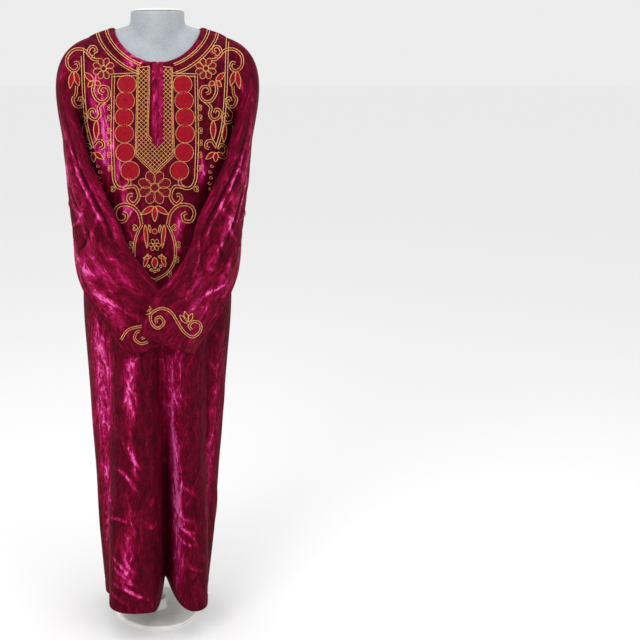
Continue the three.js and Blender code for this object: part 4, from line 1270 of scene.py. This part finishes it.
for side in (1, -1):
    x, y, radius = yoke["flower"]
    petalRing(goldYoke, wineFront, side * x, y, radius, 8, frontTree, turnBy=math.pi / 8)
    for path in yoke["scrolls"]:
        scrollBand(goldYoke, wineFront, through(mirrored(path, side)), yokeCloth(path), half=2.4)
    for root, tip, half in yoke["leaves"]:
        filledLeaf(goldYoke, redYoke, *mirrored((root, tip), side), half, yokeCloth([root, tip]))
    rowPath = through(mirrored(yoke["rows"], side))
    for off in (-2.6, 2.6):
        chain(goldYoke, beside(rowPath, off), frontTree)
    for x, y in yoke["dots"]:
        chain(goldYoke, curl(side * x, y, 4, 1.6, 0, 0.9), frontTree, fineChain)

cuffs = {  # the scroll beside each cuff, in the same drawing
    "over": {
        "bands": [[(4, 540), (3, 531), (12, 528), (19, 540), (6, 551), (-7, 539), (-7, 521), (13, 510), (33, 517),
                   (49, 541), (62, 560), (79, 569), (94, 557), (94, 542), (81, 537), (71, 546), (76, 554)]],
        "leaves": [((67, 540), (52, 524), 4.5), ((68, 537), (62, 516), 4.5), ((70, 537), (78, 520), 4.5),
                   ((-9, 516), (-20, 522), 3), ((-8, 513), (-17, 503), 3)],
    },
    "under": {
        "bands": [[(-70, 575), (-57, 556), (-40, 549), (-26, 547)],
                  [(-14, 579), (-28, 583), (-41, 574), (-38, 560), (-26, 557), (-19, 567), (-28, 573)]],
        "leaves": [],
    },
}


def sewCuff(name, spec, tree):
    gold, red = Sewing(), Sewing()
    for path in spec["bands"]:
        scrollBand(gold, red, through(path), tree, half=2.0)
    for root, tip, half in spec["leaves"]:
        filledLeaf(gold, red, root, tip, half, tree)
    return gold.finish(name + "_gold", goldThread), red.finish(name + "_wine", wineThread)


overCuff = sewCuff("cuff_left_scroll", cuffs["over"], clothTree((leftPoints, True)))
underCuff = sewCuff("cuff_right_scroll", cuffs["under"], clothTree((rightPoints, True)))
frontSewing = [goldFront.finish("bodice_chain_gold", goldThread), redFront.finish("bodice_satin_red", redThread),
               goldYoke.finish("yoke_chain_gold", goldThread), redYoke.finish("yoke_satin_red", redThread),
               wineFront.finish("front_satin_wine", wineThread)]
for piece in [*frontSewing, *overCuff, *underCuff]:
    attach(piece, "root")
print("embroidery ready")


# ---- the dress form and its stand

formLook = {
    "ease": {
        "at": [756, 885, 980, 1075, 1130, 1168],
        "side": [15, 15, 24, 13, 7, 4.2],
        "front": [23, 20, 28, 13, 7, 4.2],
        "back": [21, 17, 19, 11, 7, 4.2],
    },
    "neck": [  # half, front, back, side height, front height, back height
        (76, 66, 51, 1376, 1316, 1366),
        (63, 58, 49, 1380, 1334, 1372),
        (58, 55, 50, 1388, 1362, 1384),
        (57, 54, 50, 1408, 1408, 1408),
    ],
    "stations": 120,
    "bottom": 756,
    "waistTop": 1125,
    "yokeTop": 1367,
    "underCloth": 3.6,  # how far the form lies inside the cloth's own surface
    "rings": 40,
}


def makeTorso():
    angles = np.arange(formLook["stations"]) * 360 / formLook["stations"] - 90
    cos, sin = np.cos(np.radians(angles)), np.sin(np.radians(angles))
    rings = []
    for z in np.linspace(formLook["bottom"], formLook["waistTop"], formLook["rings"]):
        half = tableColumn(bodySections, "half", z) - tableColumn(formLook["ease"], "side", z)
        front_ = tableColumn(bodySections, "front", z) - tableColumn(formLook["ease"], "front", z)
        back_ = tableColumn(bodySections, "back", z) - tableColumn(formLook["ease"], "back", z)
        rings.append(np.stack([half * sin, -np.where(cos > 0, front_, back_) * cos, z + 0 * sin], -1))
    for level in np.linspace(caftanCut["underarm"], formLook["yokeTop"], formLook["rings"]):
        at = np.full(len(angles), level)
        rings.append(onBody(angles, at) - bodyNormal(angles, at) * formLook["underCloth"])
    anchors = [rings[-1]]
    for half, front_, back_, sideZ, frontZ, backZ in formLook["neck"]:
        endZ = np.where(cos > 0, frontZ, backZ)
        z = sideZ + (endZ - sideZ) * cos**2
        anchors.append(np.stack([half * sin, -np.where(cos > 0, front_, back_) * cos, z], -1))
    knots = np.stack([anchors[0]] + anchors + [anchors[-1] + [0, 0, 10]])
    for k in range(len(anchors) - 1):
        for t in np.linspace(0, 1, 6)[1:]:
            rings.append(curveBetween(*knots[k : k + 4], t))
    points = np.stack(rings)
    low, high = points[0].mean(0), points[-1].mean(0)
    points = np.concatenate([[low + (points[0] - low) * k for k in (0.02, 0.5, 0.97)], points,
                             [high + (points[-1] - high) * k for k in (0.98, 0.5, 0.02)]])
    return clothMesh("torso_cover", points, jersey, closed=True)


torso = makeTorso()


def turnedPiece(name, profile, segments, material):  # a lathe-turned piece from radius and height
    turn = np.arange(segments) * 2 * math.pi / segments
    points = np.stack([np.stack([r * np.cos(turn), r * np.sin(turn), z + 0 * turn], -1) for r, z in profile])
    return clothMesh(name, points, material, closed=True)


def filleted(corners, radius):  # rounds the corners of a profile with a few short steps
    path = [corners[0]]
    for before, corner, after in zip(corners, corners[1:], corners[2:]):
        b, c, a = np.array(before, float), np.array(corner, float), np.array(after, float)
        r = min(radius, np.linalg.norm(b - c) / 2.2, np.linalg.norm(a - c) / 2.2)
        p, q = c + (b - c) / np.linalg.norm(b - c) * r, c + (a - c) / np.linalg.norm(a - c) * r
        path += [tuple((1 - t) ** 2 * p + 2 * t * (1 - t) * c + t * t * q) for t in (0, 0.25, 0.5, 0.75, 1)]
    return path + [corners[-1]]


standLook = {  # each profile is radius and height, from the middle of its foot
    "cap": [(0.1, 1408.3), (49, 1408.3), (52, 1409.8), (50, 1412.3), (47, 1413.3), (0.1, 1413.3)],
    "pole": [(0.1, 34.3), (12.5, 34.3), (12.5, 395), (12.5, 755.7), (0.1, 755.7)],
    "base": [(0.1, 0), (97, 0), (100, 3), (100, 5), (97, 8), (24, 9), (20, 34), (0.1, 34)],
    "capEdge": 0.6,
    "baseEdge": 1.2,
}
cap = turnedPiece("neck_cap", filleted(standLook["cap"], standLook["capEdge"]), 96, whiteSteel)
pole = turnedPiece("stand_pole", standLook["pole"], 64, whiteSteel)
base = turnedPiece("stand_base", filleted(standLook["base"], standLook["baseEdge"]), 128, whiteSteel)
print("form and stand ready")

# ---- what each piece stands for

pieces = [
    (front, "front", "velvet", (0.78, 1.34), 0.76, frontSewing),
    (back, "back", "velvet", (0.70, 1.36), 0.70, []),
    (sleeveLeft, "sleeve_left", "velvet", (0.42, 0.62), 0.2, overCuff),
    (sleeveRight, "sleeve_right", "velvet", (0.42, 0.62), 0.2, underCuff),
    (binding, "neck_binding", "velvet", (0.56, 0.022), None, []),
    (weltLeft, "placket_left", "velvet", (0.014, 0.19), None, []),
    (weltRight, "placket_right", "velvet", (0.014, 0.19), None, []),
    (torso, "form_torso", "jersey", None, None, []),
    (cap, "form_neck_cap", "white_steel", None, None, []),
    (pole, "form_pole", "white_steel", None, None, []),
    (base, "form_base", "white_steel", None, None, []),
]
for piece, node, slotName, flat, area, sewn in pieces:
    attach(piece, "root")
    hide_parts(node)

# ---- floor, light and camera

stageLook = {"floor": "#fcfcfc", "halfMetres": 60, "room": 0.84}


def paleFloor():
    material = newMaterial("pale studio floor")
    surface = addNode(material, "ShaderNodeBsdfPrincipled",
                      {"Base Color": toLinear(stageLook["floor"]), "Roughness": 0.9})
    addNode(material, "ShaderNodeOutputMaterial", {}, {"Surface": surface.outputs[0]})
    half = stageLook["halfMetres"] * 1000
    points = np.array([[[x, y, 0.0] for x in (-half, half)] for y in (-half, half)])
    return clothMesh("studio_floor", points, material)


floor = paleFloor()

lampSettings = {  # energy in watts, size in metres, place, aim
    "key": (36, 1.6, (-1.5, -2.4, 2.4), (0, 0, 0.9)),
    "fill": (12, 2.0, (2.0, -2.0, 1.5), (0, 0, 0.7)),
    "top": (13, 2.0, (0.2, -0.2, 3.0), (0, 0, 0.6)),
}
for name, (energy, size, place, aim) in lampSettings.items():
    lamp = bpy.data.lights.new(name, "AREA")
    lamp.energy, lamp.size, lamp.shape = energy, size, "DISK"
    holder = bpy.data.objects.new(name, lamp)
    bpy.context.scene.collection.objects.link(holder)
    holder.location = place
    holder.rotation_euler = (Vector(aim) - Vector(place)).to_track_quat("-Z", "Y").to_euler()
world = bpy.data.worlds.new("soft room")
bpy.context.scene.world = world
world.use_nodes = True
world.node_tree.nodes["Background"].inputs["Color"].default_value = (1, 1, 1, 1)
world.node_tree.nodes["Background"].inputs["Strength"].default_value = stageLook["room"]
bpy.context.scene.view_settings.view_transform = "Standard"

cameraSettings = {  # the reach is the lens in steps of a frame that is 640 steps wide
    "place": (0, -2.3, 1.30),
    "tilt": 14,
    "sensor": 36,
    "reach": 1035,
    "frame": 640,
    "shift": (0.2539, 0.0031),
}
camera = bpy.data.objects.new("camera", bpy.data.cameras.new("camera"))
bpy.context.scene.collection.objects.link(camera)
camera.location = cameraSettings["place"]
camera.rotation_euler = (math.radians(90 - cameraSettings["tilt"]), 0, 0)
camera.data.sensor_width = cameraSettings["sensor"]
camera.data.lens = cameraSettings["sensor"] * cameraSettings["reach"] / cameraSettings["frame"]
camera.data.shift_x, camera.data.shift_y = cameraSettings["shift"]
bpy.context.scene.camera = camera

print("ready")
